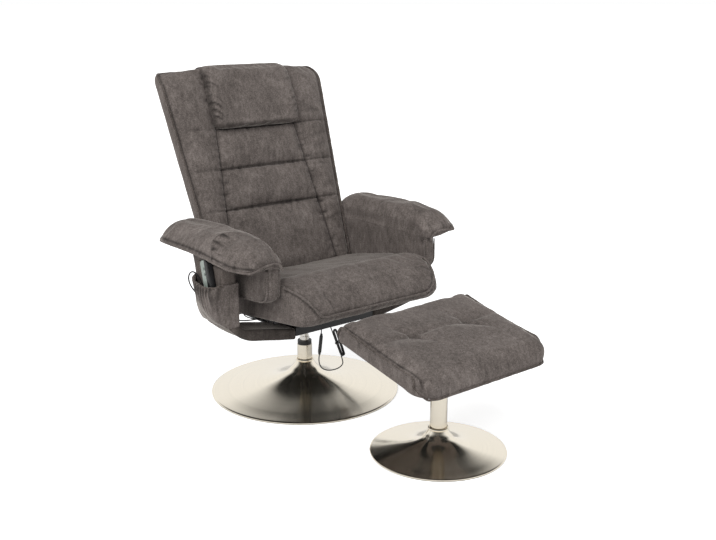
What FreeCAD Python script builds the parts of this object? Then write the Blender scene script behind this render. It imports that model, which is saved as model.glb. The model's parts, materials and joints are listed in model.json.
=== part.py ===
import FreeCAD, Part
import math
import os
from FreeCAD import Vector

# Massage armchair on a swivelling trumpet base, with its footstool.
# Millimetres. The origin is on the floor under the chair's column, +Z is up,
# the chair faces -Y, and +X is the sitter's left hand.

X_AXIS = Vector(1, 0, 0)
Y_AXIS = Vector(0, 1, 0)
Z_AXIS = Vector(0, 0, 1)
ORIGIN = Vector(0, 0, 0)
LEFT = 1
RIGHT = -1

# Clearances
FIT = 0.1           # between pieces that are fixed to each other
RUN = 0.05          # radial, shaft in a bush
FACE_GAP = 0.3      # between faces that pass each other
OVERRUN = 5.0       # how far a cutting tool passes the face it cuts

# Trumpet bases, spun from sheet
CHAIR_BASE_R = 300.0
STOOL_BASE_R = 191.0
CHAIR_NECK_Z = 98.0
STOOL_NECK_Z = 68.0
NECK_R = 26.0
SHELL_T = 1.5
RIM_Z = 6.5
SKIRT_Z = 1.5
PAD_T = 3.0
PLATE_T = 5.0
PLATE_INSET = 40.0
FLARE_SHARES = ((1.0, 0.0), (0.82, 0.066), (0.4, 0.25), (0.17, 0.478), (0.066, 0.74), (0.0, 1.0))
NECK_BEAD_R = 3.2

# Columns and the swivel
COLUMN_R = 23.75
COLUMN_T = 2.0
COLUMN_PLUG_T = 14.0
CHAIR_COLUMN_TOP = 152.0
BASE_BOLT_R = 5.0
BASE_BOLT_HEAD_R = 10.0
SPINDLE_R = 12.5
BUSH_FLANGE_R = 22.5
BUSH_FLANGE_T = 13.0
BUSH_LENGTH = 22.0
LOWER_BUSH_Z = 44.0
SPINDLE_COLLAR_R = 15.5
SPINDLE_COLLAR_T = 13.0
SPINDLE_CLIP_R = 17.0
SPINDLE_CLIP_T = 1.6
SPINDLE_TAIL = 6.0
SOCKET_LOW_R = 19.0
SOCKET_HIGH_R = 40.0
SOCKET_H = 55.0

# Pressed steel pan that carries the seat, the arms and the back
PAN_Z = 250.0
PAN_T = 4.0
PAN_HALF_X = 150.0
PAN_FRONT_Y = -160.0
PAN_REAR_Y = 118.0
PAN_FLANGE_H = 26.0
PAN_SIDE_X = 138.0
CROSSBAR_W = 30.0
CROSSBAR_H = 18.0
CROSSBAR_FRONT_Y = -140.0
CROSSBAR_REAR_Y = 62.0

# Bent flat bars inside the padded bands that hold the arms
BAND_X = 379.0          # centre line of the upright
BAND_T = 48.0
BAND_RUN_T = 32.0       # of the sloping run, thinned on its upper face
BAND_FRONT_Y = -165.0
BAND_W = 135.0
BAND_RISE = 10.5        # degrees
BAND_OUTER_R = 129.0
BAND_INNER_R = 42.0
BAR_BEND_R = 77.0
BAND_START_X = 153.0
BAND_TOP_Z = 501.0
BAND_END_GAP = 12.0
BAR_T = 8.0
BAR_W = 56.0
BAR_START_X = 40.0
BAR_KNEE_X = 112.0
BAND_EDGE_R = 9.0

# Seat
SEAT_HALF_W = 271.5
SEAT_REAR_Y = 80.0
SEAT_REAR_Z = 388.0
SEAT_DISH = (-60.0, 419.0)
SEAT_CREST = (-192.0, 441.0)
SEAT_NOSE = (-314.0, 415.0)
SEAT_WELT = (-352.0, 362.0)
SEAT_LIP = (-331.0, 339.3)
SEAT_BASE_Z = 304.0     # underside above the origin
SEAT_TILT = 6.0
SEAT_SIDE_DROP = 22.0
SEAT_SIDE_PULL = 50.0
SEAT_SIDE_LIFT = 6.0
SEAT_SECTION_SHARES = (
    (0.0, 0.0), (0.35, 0.0), (0.65, 0.0), (0.82, 0.015), (0.91, 0.17), (0.97, 0.46), (1.0, 1.0),
)
SEAT_NOSE_SHARE = 0.7
SEAT_WELT_SHARE = 0.25
RAIL_T = 22.0
RAIL_H = 45.0
RAIL_HALF_X = 226.0
RAIL_FRONT_Y = -292.0
RAIL_REAR_Y = 62.0
SEAT_WELL_H = 60.0
WEB_T = 2.0
WEB_W = 50.0
WEB_COUNT = 5
DUST_T = 1.5

# Massage motors
MOTOR_R = 30.0
MOTOR_H = 26.0
MOTOR_ROOM = 2.0
SEAT_MOTOR_X = 95.0
SEAT_MOTOR_Y = -165.0

# Hinge of the back, and the back drawn upright about it
HINGE_Y = 120.0
HINGE_Z = 352.0
BACK_LEAN = 20.5
HINGE_PIN_R = 5.0
HINGE_X = 205.0
HINGE_PLATE_T = 5.0
HINGE_EYE_R = 12.5
HINGE_HEAD_R = 8.5
HINGE_HEAD_T = 4.0
POST_W = 28.0
POST_H = 330.0
BACK_BOTTOM = 13.0
BACK_TOP = 685.0
BACK_EDGE_T = 43.0
BACK_REAR_R_PARTS = 5
BACK_BASE_HALF_W = 258.0
BACK_TOP_HALF_W = 304.0
BACK_SHOULDER = 40.0
LOBE_BASE_HALF_W = 200.0
LOBE_TOP_HALF_W = 150.0
SIDE_CROWN = 15.0
SEAM_SINK = 8.0
LOBE_CROWN = 20.0
CHANNEL_SEAMS = (229.0, 358.0, 487.0)
HEADREST_BED = 38.0
BACK_TOP_SHARES = ((-1.0, 0.0), (-0.72, 0.03), (-0.42, 0.13), (-0.16, 0.42), (0.0, 1.0))
BACK_TOP_ROUND = 55.0
BACK_TOP_PULL = 62.0
BACK_PANEL_T = 10.0
BACK_PANEL_MARGIN = 34.0
BACK_PANEL_SKIN = 5.0
BACK_MOTOR_X = 90.0
BACK_MOTOR_SHARES = (0.313, 0.812)

# Headrest pillow
HEADREST_HALF_W = 156.0
HEADREST_REAR = 41.0
HEADREST_FOOT = (487.0, 66.0)
HEADREST_RIM = 686.5
HEADREST_LAP = 4.0
# front of the pillow seen from the side: forward, up, and the way each point is drawn in at the ends
HEADREST_FRONT = (
    (66.0, 484.0, -0.5, 0.9), (86.0, 502.0, -1.0, 0.3), (90.0, 590.0, -1.0, 0.0),
    (80.0, 658.0, -1.0, -0.2), (52.0, 690.0, -0.6, -0.5), (24.0, 697.0, -0.1, -0.4), (4.0, 691.0, 0.3, -0.2),
)
HEADREST_ENDS = ((0.0, 0.0), (0.6, 1.0), (0.9, 4.0), (0.975, 9.0), (1.0, 17.0))

# Arms
ARM_INNER_X = 272.0
ARM_OUTER_X = 321.0
ARM_FRONT_Y = -263.0
ARM_REAR_Y = 114.0
ARM_FRONT_Z = 402.0
ARM_REAR_Z = 372.0
ARM_SPLIT_Z = 508.0
ARM_CORNER_R = 32.0
ARM_CUSHION = 11.0
ARM_BOARD_T = 18.0
ARM_BOARD_MARGIN = 30.0
ROLL_TOP_Z = 589.0
ROLL_LIP_X = 421.0
ROLL_LIP_Z = 531.0
ROLL_LIP_T = 12.0
ROLL_CREST_X = 337.0
ROLL_INNER_X = 275.0
ROLL_UNDER_X = 330.0
ROLL_REAR_Y = 178.0
ROLL_FRONT_Y = -276.0
# along the roll: place, height left under the crest, reach left to the lip, drop of the lip
ROLL_SHARES = (
    (0.0, 0.55, 0.66, 0.35), (0.035, 0.8, 0.88, 0.12), (0.12, 0.94, 0.98, 0.0), (0.45, 1.0, 1.0, 0.0),
    (0.72, 1.0, 0.99, 0.05), (0.85, 0.9, 0.92, 0.4), (0.945, 0.66, 0.76, 0.7), (1.0, 0.3, 0.55, 0.9),
)
ROLL_LIP_DROP = 6.0
ARM_BOLT_R = 4.0
ARM_BOLT_HEAD_R = 6.5
ARM_BOLT_HEAD_T = 5.0
ARM_BOLT_Z = (424.0, 472.0)
SPACER_R = 8.0
PAN_BOLT_X = (62.0, 96.0)

# Pocket for the handset, on the sitter's right
POCKET_WALL = 2.5
POCKET_FLOOR = 14.0
# level, how far it swells from the band, and where along the band the swelling starts
POCKET_LEVELS = (
    (325.0, 5.0, -132.0), (350.0, 22.0, -134.0), (375.0, 31.0, -124.0),
    (402.0, 34.0, -106.0), (432.0, 35.0, -88.0), (461.0, 34.0, -72.0),
)
POCKET_FLAP_X = 352.0
POCKET_CORNER = 11.0

# Handset, drawn upright with its foot at the origin
HANDSET_L = 148.0
HANDSET_HALF_W = 18.0
HANDSET_T = 20.0
HANDSET_FACE_T = 7.0
HANDSET_CORNER_R = 9.0
HANDSET_LEAN = 14.0
HANDSET_FOOT = (-138.0, 373.0)
HANDSET_STAND_OFF = 1.2
KEY_R = 4.0
KEY_PROUD = 1.2
KEY_SINK = 2.0
KEY_HEIGHTS = {"power_key": 124.0, "mode_key": 108.0, "intensity_key": 64.0}

# Recline lever, on the sitter's left
LEVER_Y = 45.0
LEVER_Z = 272.0
LEVER_ROD_R = 5.0
LEVER_REACH = 312.0
LEVER_HUB_R = 8.0
LEVER_ARM_L = 82.0
LEVER_ARM_W = 16.0
LEVER_ARM_T = 5.0
GRIP_L = 46.0
GRIP_T = 13.0
GRIP_W = 24.0

# Control box in the pan
BOX_X = 66.0
BOX_FRONT_Y = 24.0
BOX_DEPTH = 34.0
BOX_H = 26.0

# Footstool
STOOL_Y = -616.0
STOOL_HALF_W = 235.0
STOOL_HALF_L = 176.0
STOOL_TILT = 10.7
STOOL_MID = (-632.0, 303.0)     # underside of the pad, halfway along
STOOL_BOX_T = 47.0
STOOL_CROWN = 9.0
STOOL_REAR_RISE = 8.0
STOOL_NOSE = 40.0
STOOL_SIDE_DROP = 10.0
STOOL_SECTION_SHARES = ((0.0, 0.0), (0.5, 0.06), (0.86, 0.3), (0.97, 0.65), (1.0, 1.0))
STOOL_CORNER_R = 46.0
STOOL_REAR_SHARE = 0.1
STOOL_BOARD_T = 12.0
STOOL_BOARD_MARGIN = 24.0
STOOL_PLATE_HALF = 70.0
STOOL_PLATE_T = 5.0
TUFT_X = 100.0
TUFT_FORWARD = -28.0
TUFT_R = 70.0
TUFT_DEPTH = 12.0

# Leads. Points of a route are places on it, chosen by hand.
LEAD_D = 3.4
HANDSET_LEAD_D = 4.0
HANK_PITCH = 3.85
HANK_HALF_W = 7.4
HANK_RUN = 86.0
HANK_FOOT = (41.0, -145.0, 146.0)
HANK_LEAN = 21.0
HANK_TAIL = 14.0
HANK_HEAD = 27.5
TIE_W = 5.0
TIE_T = 1.2
CONNECTOR_R = 5.4
CONNECTOR_END_R = 3.4
CONNECTOR_TOP = (-43.0, -145.0, 231.0)
CONNECTOR_FOOT = (-52.0, -145.0, 166.0)
CONNECTOR_TAPER = 10.0
LEAD_LOOP = [
    (-52.0, -145.0, 166.0), (-54.4, -145.0, 148.5), (-51.5, -145.0, 132.0), (-41.5, -145.0, 118.0),
    (-26.5, -145.0, 108.5), (-9.0, -145.0, 103.8), (9.0, -145.0, 102.5), (25.5, -145.0, 104.0),
    (38.0, -145.0, 110.3), (42.5, -145.0, 121.4),
]
LEAD_DROP = [(-43.0, -145.0, 250.0), (-43.0, -145.0, 231.3)]
# reach out from the band, then along and up
LEAD_IN_POCKET = [
    (13.2, -138.2, 372.4), (15.2, -141.1, 360.8), (13.0, -134.8, 350.2), (8.2, -123.2, 345.6),
    (7.2, -110.5, 349.5), (6.8, -103.5, 360.0), (6.1, -99.5, 378.0), (7.0, -93.5, 402.0),
    (8.0, -82.5, 428.0), (9.0, -67.5, 450.0), (10.5, -51.5, 464.0), (12.5, -34.0, 469.5),
    (14.0, -17.0, 462.5), (13.5, -6.5, 446.5), (9.0, -3.0, 427.0), (-1.0, -4.0, 407.5),
]
LEAD_UNDER_SEAT = [
    (-386.0, -7.0, 386.0), (-364.0, -9.0, 359.0), (-338.0, -8.0, 331.0), (-306.0, -3.0, 304.0),
    (-268.0, 3.0, 285.0), (-228.0, 8.0, 273.0), (-188.0, 10.0, 266.0), (-150.0, 10.0, 266.0),
]
MOTOR_LEAD = [
    (-232.0, -6.0, 304.6), (-231.0, -5.0, 296.0), (-222.0, -3.0, 287.0), (-206.0, -2.0, 279.0),
    (-189.0, -1.0, 272.0), (-170.0, 0.0, 267.0), (-150.0, 0.0, 266.0),
]
RUN_SHARE = 0.45


# Plain shapes

def ring(outer, inner, low, high):
    """Upright ring about Z; an inner radius of 0 gives a disc."""
    shape = Part.makeCylinder(outer, high - low, Vector(0, 0, low))
    if inner > 0:
        bore = Part.makeCylinder(inner, high - low + 2 * OVERRUN, Vector(0, 0, low - OVERRUN))
        shape = shape.cut(bore)
    return shape


def block(low, high):
    """Box between two corners."""
    size = Vector(*high).sub(Vector(*low))
    return Part.makeBox(size.x, size.y, size.z, Vector(*low))


def rod(start, end, radius):
    """Cylinder from one point to another."""
    way = Vector(*end).sub(Vector(*start))
    return Part.makeCylinder(radius, way.Length, Vector(*start), way)


def arc(a, b, c):
    return Part.Arc(a, b, c).toShape()


def line(a, b):
    return Part.makeLine(a, b)


def face_of(edges):
    return Part.Face(Part.Wire(edges))


def mirrored(shape):
    return shape.mirror(ORIGIN, X_AXIS)


def on_side(shape, side):
    """The shape as drawn on the sitter's left, or its mirror image."""
    return shape if side == LEFT else mirrored(shape)


def turned(shape, degrees, y, z):
    """Turns a shape about a line along X."""
    shape = shape.copy()
    shape.rotate(Vector(0, y, z), X_AXIS, degrees)
    return shape


def save(node, shape):
    shape.exportStep("parts/" + node + ".step")


# Trumpet bases

def flare_line(radius, neck_z):
    reach = radius - NECK_R
    rise = neck_z - RIM_Z
    return [Vector(NECK_R + r * reach, 0, RIM_Z + z * rise) for r, z in FLARE_SHARES]


def inside_line(points, wall):
    """The same line moved in by the sheet's thickness."""
    inner = []
    for before, point, after in zip(points, points[1:], points[2:]):
        way = after.sub(before).normalize()
        inner.append(point.add(Vector(way.z, 0, -way.x).multiply(-wall)))
    first = Vector(points[0].x - wall, 0, points[0].z - wall)
    last = Vector(points[-1].x - wall, 0, points[-1].z)
    return [first] + inner + [last]


def curve(points):
    spline = Part.BSplineCurve()
    spline.interpolate(points)
    return spline.toShape()


def trumpet_shell(radius, neck_z):
    outer = flare_line(radius, neck_z)
    inner = inside_line(outer, SHELL_T)
    skirt_out = Vector(radius, 0, SKIRT_Z)
    skirt_in = Vector(radius - SHELL_T, 0, SKIRT_Z)
    edges = [
        line(skirt_out, outer[0]), curve(outer), line(outer[-1], inner[-1]),
        curve(inner[::-1]), line(inner[0], skirt_in), line(skirt_in, skirt_out),
    ]
    return face_of(edges).revolve(ORIGIN, Z_AXIS, 360)


def base_pad(radius):
    return ring(radius - SHELL_T - FIT, 0, 0, PAD_T)


def countersink(clearance):
    shank = ring(BASE_BOLT_R + clearance, 0, PAD_T, PAD_T + PLATE_T + COLUMN_PLUG_T)
    head = Part.makeCone(BASE_BOLT_HEAD_R + clearance, BASE_BOLT_R + clearance, PLATE_T, Vector(0, 0, PAD_T))
    return shank.fuse(head).removeSplitter()


def base_plate(radius):
    return ring(radius - PLATE_INSET, 0, PAD_T, PAD_T + PLATE_T).cut(countersink(FIT))


def column(top):
    low = PAD_T + PLATE_T
    tube = ring(COLUMN_R, COLUMN_R - COLUMN_T, low, top)
    plug = ring(COLUMN_R, BASE_BOLT_R + FIT, low, low + COLUMN_PLUG_T)
    return tube.fuse(plug).removeSplitter()


def neck_ring(neck_z):
    centre = Vector(0, 0, neck_z + NECK_BEAD_R)
    return Part.makeTorus(COLUMN_R + FIT + NECK_BEAD_R, NECK_BEAD_R, centre)


def at_stool(shape):
    shape = shape.copy()
    shape.translate(Vector(0, STOOL_Y, 0))
    return shape


def make_bases():
    save("chair_base_shell", trumpet_shell(CHAIR_BASE_R, CHAIR_NECK_Z))
    save("chair_base_pad", base_pad(CHAIR_BASE_R))
    save("chair_base_plate", base_plate(CHAIR_BASE_R))
    save("chair_column", column(CHAIR_COLUMN_TOP))
    save("stool_base_shell", at_stool(trumpet_shell(STOOL_BASE_R, STOOL_NECK_Z)))
    save("stool_base_pad", at_stool(base_pad(STOOL_BASE_R)))
    save("stool_base_plate", at_stool(base_plate(STOOL_BASE_R)))
    bolt = countersink(0)
    save("base_bolts", Part.makeCompound([bolt, at_stool(bolt)]))
    rings = [neck_ring(CHAIR_NECK_Z), at_stool(neck_ring(STOOL_NECK_Z))]
    save("neck_rings", Part.makeCompound(rings))


# Swivel

def make_swivel():
    bore = SPINDLE_R + RUN
    inside = COLUMN_R - COLUMN_T - FIT
    flange_top = CHAIR_COLUMN_TOP + BUSH_FLANGE_T
    flange = ring(BUSH_FLANGE_R, bore, CHAIR_COLUMN_TOP, flange_top)
    sleeve = ring(inside, bore, CHAIR_COLUMN_TOP - BUSH_LENGTH, CHAIR_COLUMN_TOP)
    save("column_top_bush", flange.fuse(sleeve).removeSplitter())
    save("column_lower_bush", ring(inside, bore, LOWER_BUSH_Z, LOWER_BUSH_Z + BUSH_LENGTH))

    clip_top = LOWER_BUSH_Z - FACE_GAP
    clip_low = clip_top - SPINDLE_CLIP_T
    shaft_low = clip_low - SPINDLE_TAIL
    collar_low = flange_top + FIT
    shaft = ring(SPINDLE_R, 0, shaft_low, PAN_Z)
    collar = ring(SPINDLE_COLLAR_R, 0, collar_low, collar_low + SPINDLE_COLLAR_T)
    save("swivel_spindle", shaft.fuse(collar).removeSplitter())
    save("spindle_clip", ring(SPINDLE_CLIP_R, SPINDLE_R + RUN, clip_low, clip_top))

    low = PAN_Z - SOCKET_H
    body = Part.makeCone(SOCKET_LOW_R, SOCKET_HIGH_R, SOCKET_H, Vector(0, 0, low))
    save("swivel_socket", body.cut(ring(SPINDLE_R + FIT, 0, low - OVERRUN, PAN_Z + OVERRUN)))


# Pan, its crossbars and the bent bars

def seat_floor(y):
    """Height of the seat's sloping underside."""
    return SEAT_BASE_Z - math.tan(math.radians(SEAT_TILT)) * y


def pan_side():
    """Upright plate, its top edge parallel to the seat's underside."""
    low = PAN_Z + PAN_T
    front = PAN_FRONT_Y + PAN_T
    rear = PAN_REAR_Y - PAN_T
    x = PAN_SIDE_X - PAN_T
    below = CROSSBAR_H / math.cos(math.radians(SEAT_TILT)) + FIT
    corners = [
        Vector(x, front, low), Vector(x, rear, low),
        Vector(x, rear, seat_floor(rear) - below), Vector(x, front, seat_floor(front) - below),
    ]
    side = Part.Face(Part.makePolygon(corners + corners[:1])).extrude(Vector(PAN_T, 0, 0))
    return side


def make_pan():
    floor = block((-PAN_HALF_X, PAN_FRONT_Y, PAN_Z), (PAN_HALF_X, PAN_REAR_Y, PAN_Z + PAN_T))
    front = block(
        (-PAN_HALF_X, PAN_FRONT_Y, PAN_Z), (PAN_HALF_X, PAN_FRONT_Y + PAN_T, PAN_Z + PAN_FLANGE_H))
    rear = block(
        (-PAN_HALF_X, PAN_REAR_Y - PAN_T, PAN_Z), (PAN_HALF_X, PAN_REAR_Y, PAN_Z + PAN_FLANGE_H))
    side = pan_side()
    opening = block(
        (BAR_START_X - OVERRUN, bar_front() - FIT, PAN_Z + PAN_T),
        (PAN_HALF_X, bar_front() + BAR_W + FIT, band_height(PAN_SIDE_X) + BAR_T))
    rod_hole = rod(
        (BAR_START_X, LEVER_Y, LEVER_Z), (PAN_HALF_X + OVERRUN, LEVER_Y, LEVER_Z), LEVER_ROD_R + RUN)
    left = side.cut(opening).cut(rod_hole)
    right = mirrored(side.cut(opening))
    pan = floor.fuse([front, rear, left, right])
    for bolt in pan_bolt_places():
        pan = pan.cut(rod((bolt[0], bolt[1], PAN_Z - OVERRUN), (bolt[0], bolt[1], PAN_Z + PAN_T + OVERRUN),
                          ARM_BOLT_R + FIT))
    save("mechanism_pan", pan.removeSplitter())


def crossbar(y):
    """Channel under the seat, open below, turned to the seat's slope."""
    low = SEAT_BASE_Z - CROSSBAR_H
    half = CROSSBAR_W / 2
    outer = block((-RAIL_HALF_X, y - half, low), (RAIL_HALF_X, y + half, SEAT_BASE_Z))
    inner = block(
        (-RAIL_HALF_X - OVERRUN, y - half + PAN_T, low - OVERRUN),
        (RAIL_HALF_X + OVERRUN, y + half - PAN_T, SEAT_BASE_Z - PAN_T))
    return turned(outer.cut(inner), -SEAT_TILT, 0, SEAT_BASE_Z)


def make_crossbars():
    bars = [crossbar(CROSSBAR_FRONT_Y), crossbar(CROSSBAR_REAR_Y)]
    save("seat_crossbars", Part.makeCompound(bars))


def band_height(x):
    """Height of the band's centre line on its sloping run."""
    rise = math.tan(math.radians(BAND_RISE))
    return PAN_Z + PAN_T + BAR_T / 2 + rise * (x - BAR_KNEE_X)


def band_outline(half, upper, outer_r, inner_r, start_x, top_z, front_y, width):
    """Sloping run, bend and upright, at half a thickness each side of the centre line.

    The run's upper face has a height of its own above that line."""
    angle = math.radians(BAND_RISE)
    half_turn = (math.pi / 2 - angle) / 2
    half_way = (angle - math.pi / 2) / 2

    def run_point(x, side):
        level = upper if side > 0 else -half
        return Vector(x, front_y, band_height(x) + level / math.cos(angle))

    def bend(radius, side):
        x = BAND_X - side * half
        corner = run_point(x, side)
        tangent = radius * math.tan(half_turn)
        centre = Vector(x - radius, front_y, corner.z + tangent)
        low = corner.sub(Vector(math.cos(angle), 0, math.sin(angle)).multiply(tangent))
        middle = centre.add(Vector(math.cos(half_way), 0, math.sin(half_way)).multiply(radius))
        return low, middle, Vector(x, front_y, corner.z + tangent)

    out_low, out_mid, out_high = bend(outer_r, -1)
    in_low, in_mid, in_high = bend(inner_r, 1)
    out_top = Vector(BAND_X + half, front_y, top_z)
    in_top = Vector(BAND_X - half, front_y, top_z)
    edges = [
        line(run_point(start_x, -1), out_low), arc(out_low, out_mid, out_high), line(out_high, out_top),
        line(out_top, in_top), line(in_top, in_high), arc(in_high, in_mid, in_low),
        line(in_low, run_point(start_x, 1)), line(run_point(start_x, 1), run_point(start_x, -1)),
    ]
    return face_of(edges).extrude(Vector(0, width, 0))


def band_outer_x(z):
    """How far out the band's outer face is at one height."""
    angle = math.radians(BAND_RISE)
    x = BAND_X + BAND_T / 2
    corner = band_height(x) - BAND_T / 2 / math.cos(angle)
    level = corner + BAND_OUTER_R * math.tan((math.pi / 2 - angle) / 2)
    drop = max(level - z, 0)
    return x - BAND_OUTER_R + math.sqrt(BAND_OUTER_R ** 2 - drop ** 2)


def bar_front():
    return BAND_FRONT_Y + (BAND_W - BAR_W) / 2


def bent_bar(extra):
    """Flat bar from the pan to the arm, larger all round by a clearance."""
    top = BAND_TOP_Z - BAND_END_GAP + extra
    half = BAR_T / 2 + extra
    front = bar_front() - extra
    width = BAR_W + 2 * extra
    sloping = band_outline(
        half, half, BAR_BEND_R + half, BAR_BEND_R - half, BAR_KNEE_X - BAR_T / 2, top, front, width)
    low = PAN_Z + PAN_T - extra
    flat = block((BAR_START_X, front, low), (BAR_KNEE_X, front + width, low + 2 * half))
    return sloping, flat


def arm_bolt_places():
    y = BAND_FRONT_Y + BAND_W / 2
    return [(y, z) for z in ARM_BOLT_Z]


def pan_bolt_places():
    y = BAND_FRONT_Y + BAND_W / 2
    return [(side * x, y) for side in (LEFT, RIGHT) for x in PAN_BOLT_X]


def arm_bolt(y, z, extra):
    """Bolt through the bar and the band's inner wall into the arm's board."""
    head_x = BAND_X + BAR_T / 2
    tip_x = ARM_INNER_X + ARM_CUSHION + FIT
    shank = rod((tip_x, y, z), (head_x, y, z), ARM_BOLT_R + extra)
    head = rod((head_x, y, z), (head_x + ARM_BOLT_HEAD_T + extra, y, z), ARM_BOLT_HEAD_R + extra)
    return shank.fuse(head).removeSplitter()


def arm_spacer(y, z, extra):
    """Sleeve that stands the arm's board off the bar."""
    board_x = ARM_INNER_X + ARM_CUSHION + ARM_BOARD_T + FIT
    return rod((board_x, y, z), (BAND_X - BAR_T / 2 - FIT, y, z), SPACER_R + extra)


def pan_bolt(x, y, extra):
    """Bolt up through the pan and the bar, its head under the pan."""
    top = PAN_Z + PAN_T + BAR_T
    shank = rod((x, y, PAN_Z), (x, y, top), ARM_BOLT_R + extra)
    head = rod((x, y, PAN_Z - ARM_BOLT_HEAD_T), (x, y, PAN_Z), ARM_BOLT_HEAD_R)
    return shank.fuse(head).removeSplitter()


def make_bars_and_bands():
    sloping, flat = bent_bar(0)
    pan_floor = block(
        (BAR_START_X, bar_front() - OVERRUN, PAN_Z),
        (PAN_HALF_X, bar_front() + BAR_W + OVERRUN, PAN_Z + PAN_T))
    bar = sloping.fuse(flat).removeSplitter().cut(pan_floor)
    wide_sloping, wide_flat = bent_bar(FIT)
    band = band_outline(
        BAND_T / 2, BAND_RUN_T - BAND_T / 2, BAND_OUTER_R, BAND_INNER_R,
        BAND_START_X, BAND_TOP_Z, BAND_FRONT_Y, BAND_W)
    long_edges = [
        e for e in band.Edges
        if abs(e.BoundBox.YLength) < FIT and e.BoundBox.XLength + e.BoundBox.ZLength > BAND_T + 2 * OVERRUN
    ]
    band = band.makeFillet(BAND_EDGE_R, long_edges)
    band = band.cut(wide_sloping)
    for y, z in arm_bolt_places():
        bar = bar.cut(rod((ARM_INNER_X, y, z), (BAND_X + BAND_T, y, z), ARM_BOLT_R + FIT))
        band = band.cut([arm_bolt(y, z, FIT), arm_spacer(y, z, FIT)])
    for x, y in pan_bolt_places():
        if x > 0:
            bar = bar.cut(pan_bolt(x, y, FIT))
    save("support_bars", Part.makeCompound([bar, mirrored(bar)]))
    save("left_band_pad", band)
    save("right_band_pad", mirrored(band))
    bolts = [pan_bolt(x, y, 0) for x, y in pan_bolt_places()]
    for side in (LEFT, RIGHT):
        bolts += [on_side(arm_bolt(y, z, 0), side) for y, z in arm_bolt_places()]
    save("frame_bolts", Part.makeCompound(bolts))
    spacers = []
    for y, z in arm_bolt_places():
        sleeve = arm_spacer(y, z, 0).cut(arm_bolt(y, z, FIT))
        spacers += [sleeve, mirrored(sleeve)]
    save("arm_spacers", Part.makeCompound(spacers))


# Seat

def seat_section(x_share, round_share):
    """Side view of the seat at one place across it."""
    x = x_share * SEAT_HALF_W
    drop = round_share * SEAT_SIDE_DROP
    pull = round_share * SEAT_SIDE_PULL
    lift = round_share * SEAT_SIDE_LIFT
    rear_low = Vector(x, SEAT_REAR_Y, seat_floor(SEAT_REAR_Y) + FIT + lift)
    rear_top = Vector(x, SEAT_REAR_Y, SEAT_REAR_Z - drop)
    dish = Vector(x, SEAT_DISH[0], SEAT_DISH[1] - drop)
    crest = Vector(x, SEAT_CREST[0], SEAT_CREST[1] - drop)
    nose = Vector(x, SEAT_NOSE[0] + SEAT_NOSE_SHARE * pull, SEAT_NOSE[1] - SEAT_NOSE_SHARE * drop)
    welt = Vector(x, SEAT_WELT[0] + pull, SEAT_WELT[1] - SEAT_WELT_SHARE * drop)
    lip = Vector(x, SEAT_LIP[0] + pull, SEAT_LIP[1] + lift)
    return Part.Wire([
        line(rear_low, rear_top), arc(rear_top, dish, crest), arc(crest, nose, welt),
        line(welt, lip), line(lip, rear_low),
    ])


def across(section, shares):
    """Sections from the right edge over the middle to the left edge."""
    right = [section(-x, roundness) for x, roundness in shares[:0:-1]]
    return right + [section(x, roundness) for x, roundness in shares]


def motor(x, y, z):
    return ring_at(MOTOR_R, MOTOR_H, x, y, z)


def motor_room(x, y, z):
    return ring_at(MOTOR_R + MOTOR_ROOM, MOTOR_H + MOTOR_ROOM, x, y, z)


def ring_at(radius, height, x, y, z):
    return Part.makeCylinder(radius, height, Vector(x, y, z))


def seat_level(shape):
    """Turns what is drawn level at the seat's underside to the seat's slope."""
    return turned(shape, -SEAT_TILT, 0, SEAT_BASE_Z)


def seat_motor_places():
    z = SEAT_BASE_Z + DUST_T + RAIL_H + WEB_T
    return [(side * SEAT_MOTOR_X, SEAT_MOTOR_Y, z) for side in (RIGHT, LEFT)]


def make_seat():
    cushion = Part.makeLoft(across(seat_section, SEAT_SECTION_SHARES), True, False)
    well = block(
        (-RAIL_HALF_X - FIT, RAIL_FRONT_Y - FIT, SEAT_BASE_Z - RAIL_H),
        (RAIL_HALF_X + FIT, RAIL_REAR_Y + FIT, SEAT_BASE_Z + SEAT_WELL_H))
    cushion = cushion.cut(seat_level(well))
    rooms = [seat_level(motor_room(x, y, z)) for x, y, z in seat_motor_places()]
    cushion = cushion.cut(rooms)
    save("seat_cushion", cushion)
    motors = [seat_level(motor(x, y, z)) for x, y, z in seat_motor_places()]
    save("seat_motors", Part.makeCompound(motors))

    low = SEAT_BASE_Z + DUST_T
    top = low + RAIL_H
    inner_x = RAIL_HALF_X - RAIL_T
    side = block((inner_x, RAIL_FRONT_Y, low), (RAIL_HALF_X, RAIL_REAR_Y, top))
    sides = [seat_level(side), seat_level(mirrored(side))]
    save("seat_side_rails", Part.makeCompound(sides))
    front = block((-inner_x, RAIL_FRONT_Y, low), (inner_x, RAIL_FRONT_Y + RAIL_T, top))
    rear = block((-inner_x, RAIL_REAR_Y - RAIL_T, low), (inner_x, RAIL_REAR_Y, top))
    save("seat_end_rails", Part.makeCompound([seat_level(front), seat_level(rear)]))
    pitch = (RAIL_REAR_Y - RAIL_FRONT_Y - WEB_W) / (WEB_COUNT - 1)
    straps = []
    for i in range(WEB_COUNT):
        y = RAIL_FRONT_Y + i * pitch
        strap = block((-RAIL_HALF_X, y, top), (RAIL_HALF_X, y + WEB_W, top + WEB_T))
        straps.append(seat_level(strap))
    save("seat_webbing", Part.makeCompound(straps))
    cover = block((-RAIL_HALF_X, RAIL_FRONT_Y, SEAT_BASE_Z), (RAIL_HALF_X, RAIL_REAR_Y, low))
    save("seat_dust_cover", seat_level(cover))


# Back, drawn upright with the hinge line at the origin and its front towards -Y

def leaned(shape):
    shape = shape.copy()
    shape.rotate(ORIGIN, X_AXIS, -BACK_LEAN)
    shape.translate(Vector(0, HINGE_Y, HINGE_Z))
    return shape


def share_between(low, high, share):
    return low + (high - low) * share


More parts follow.
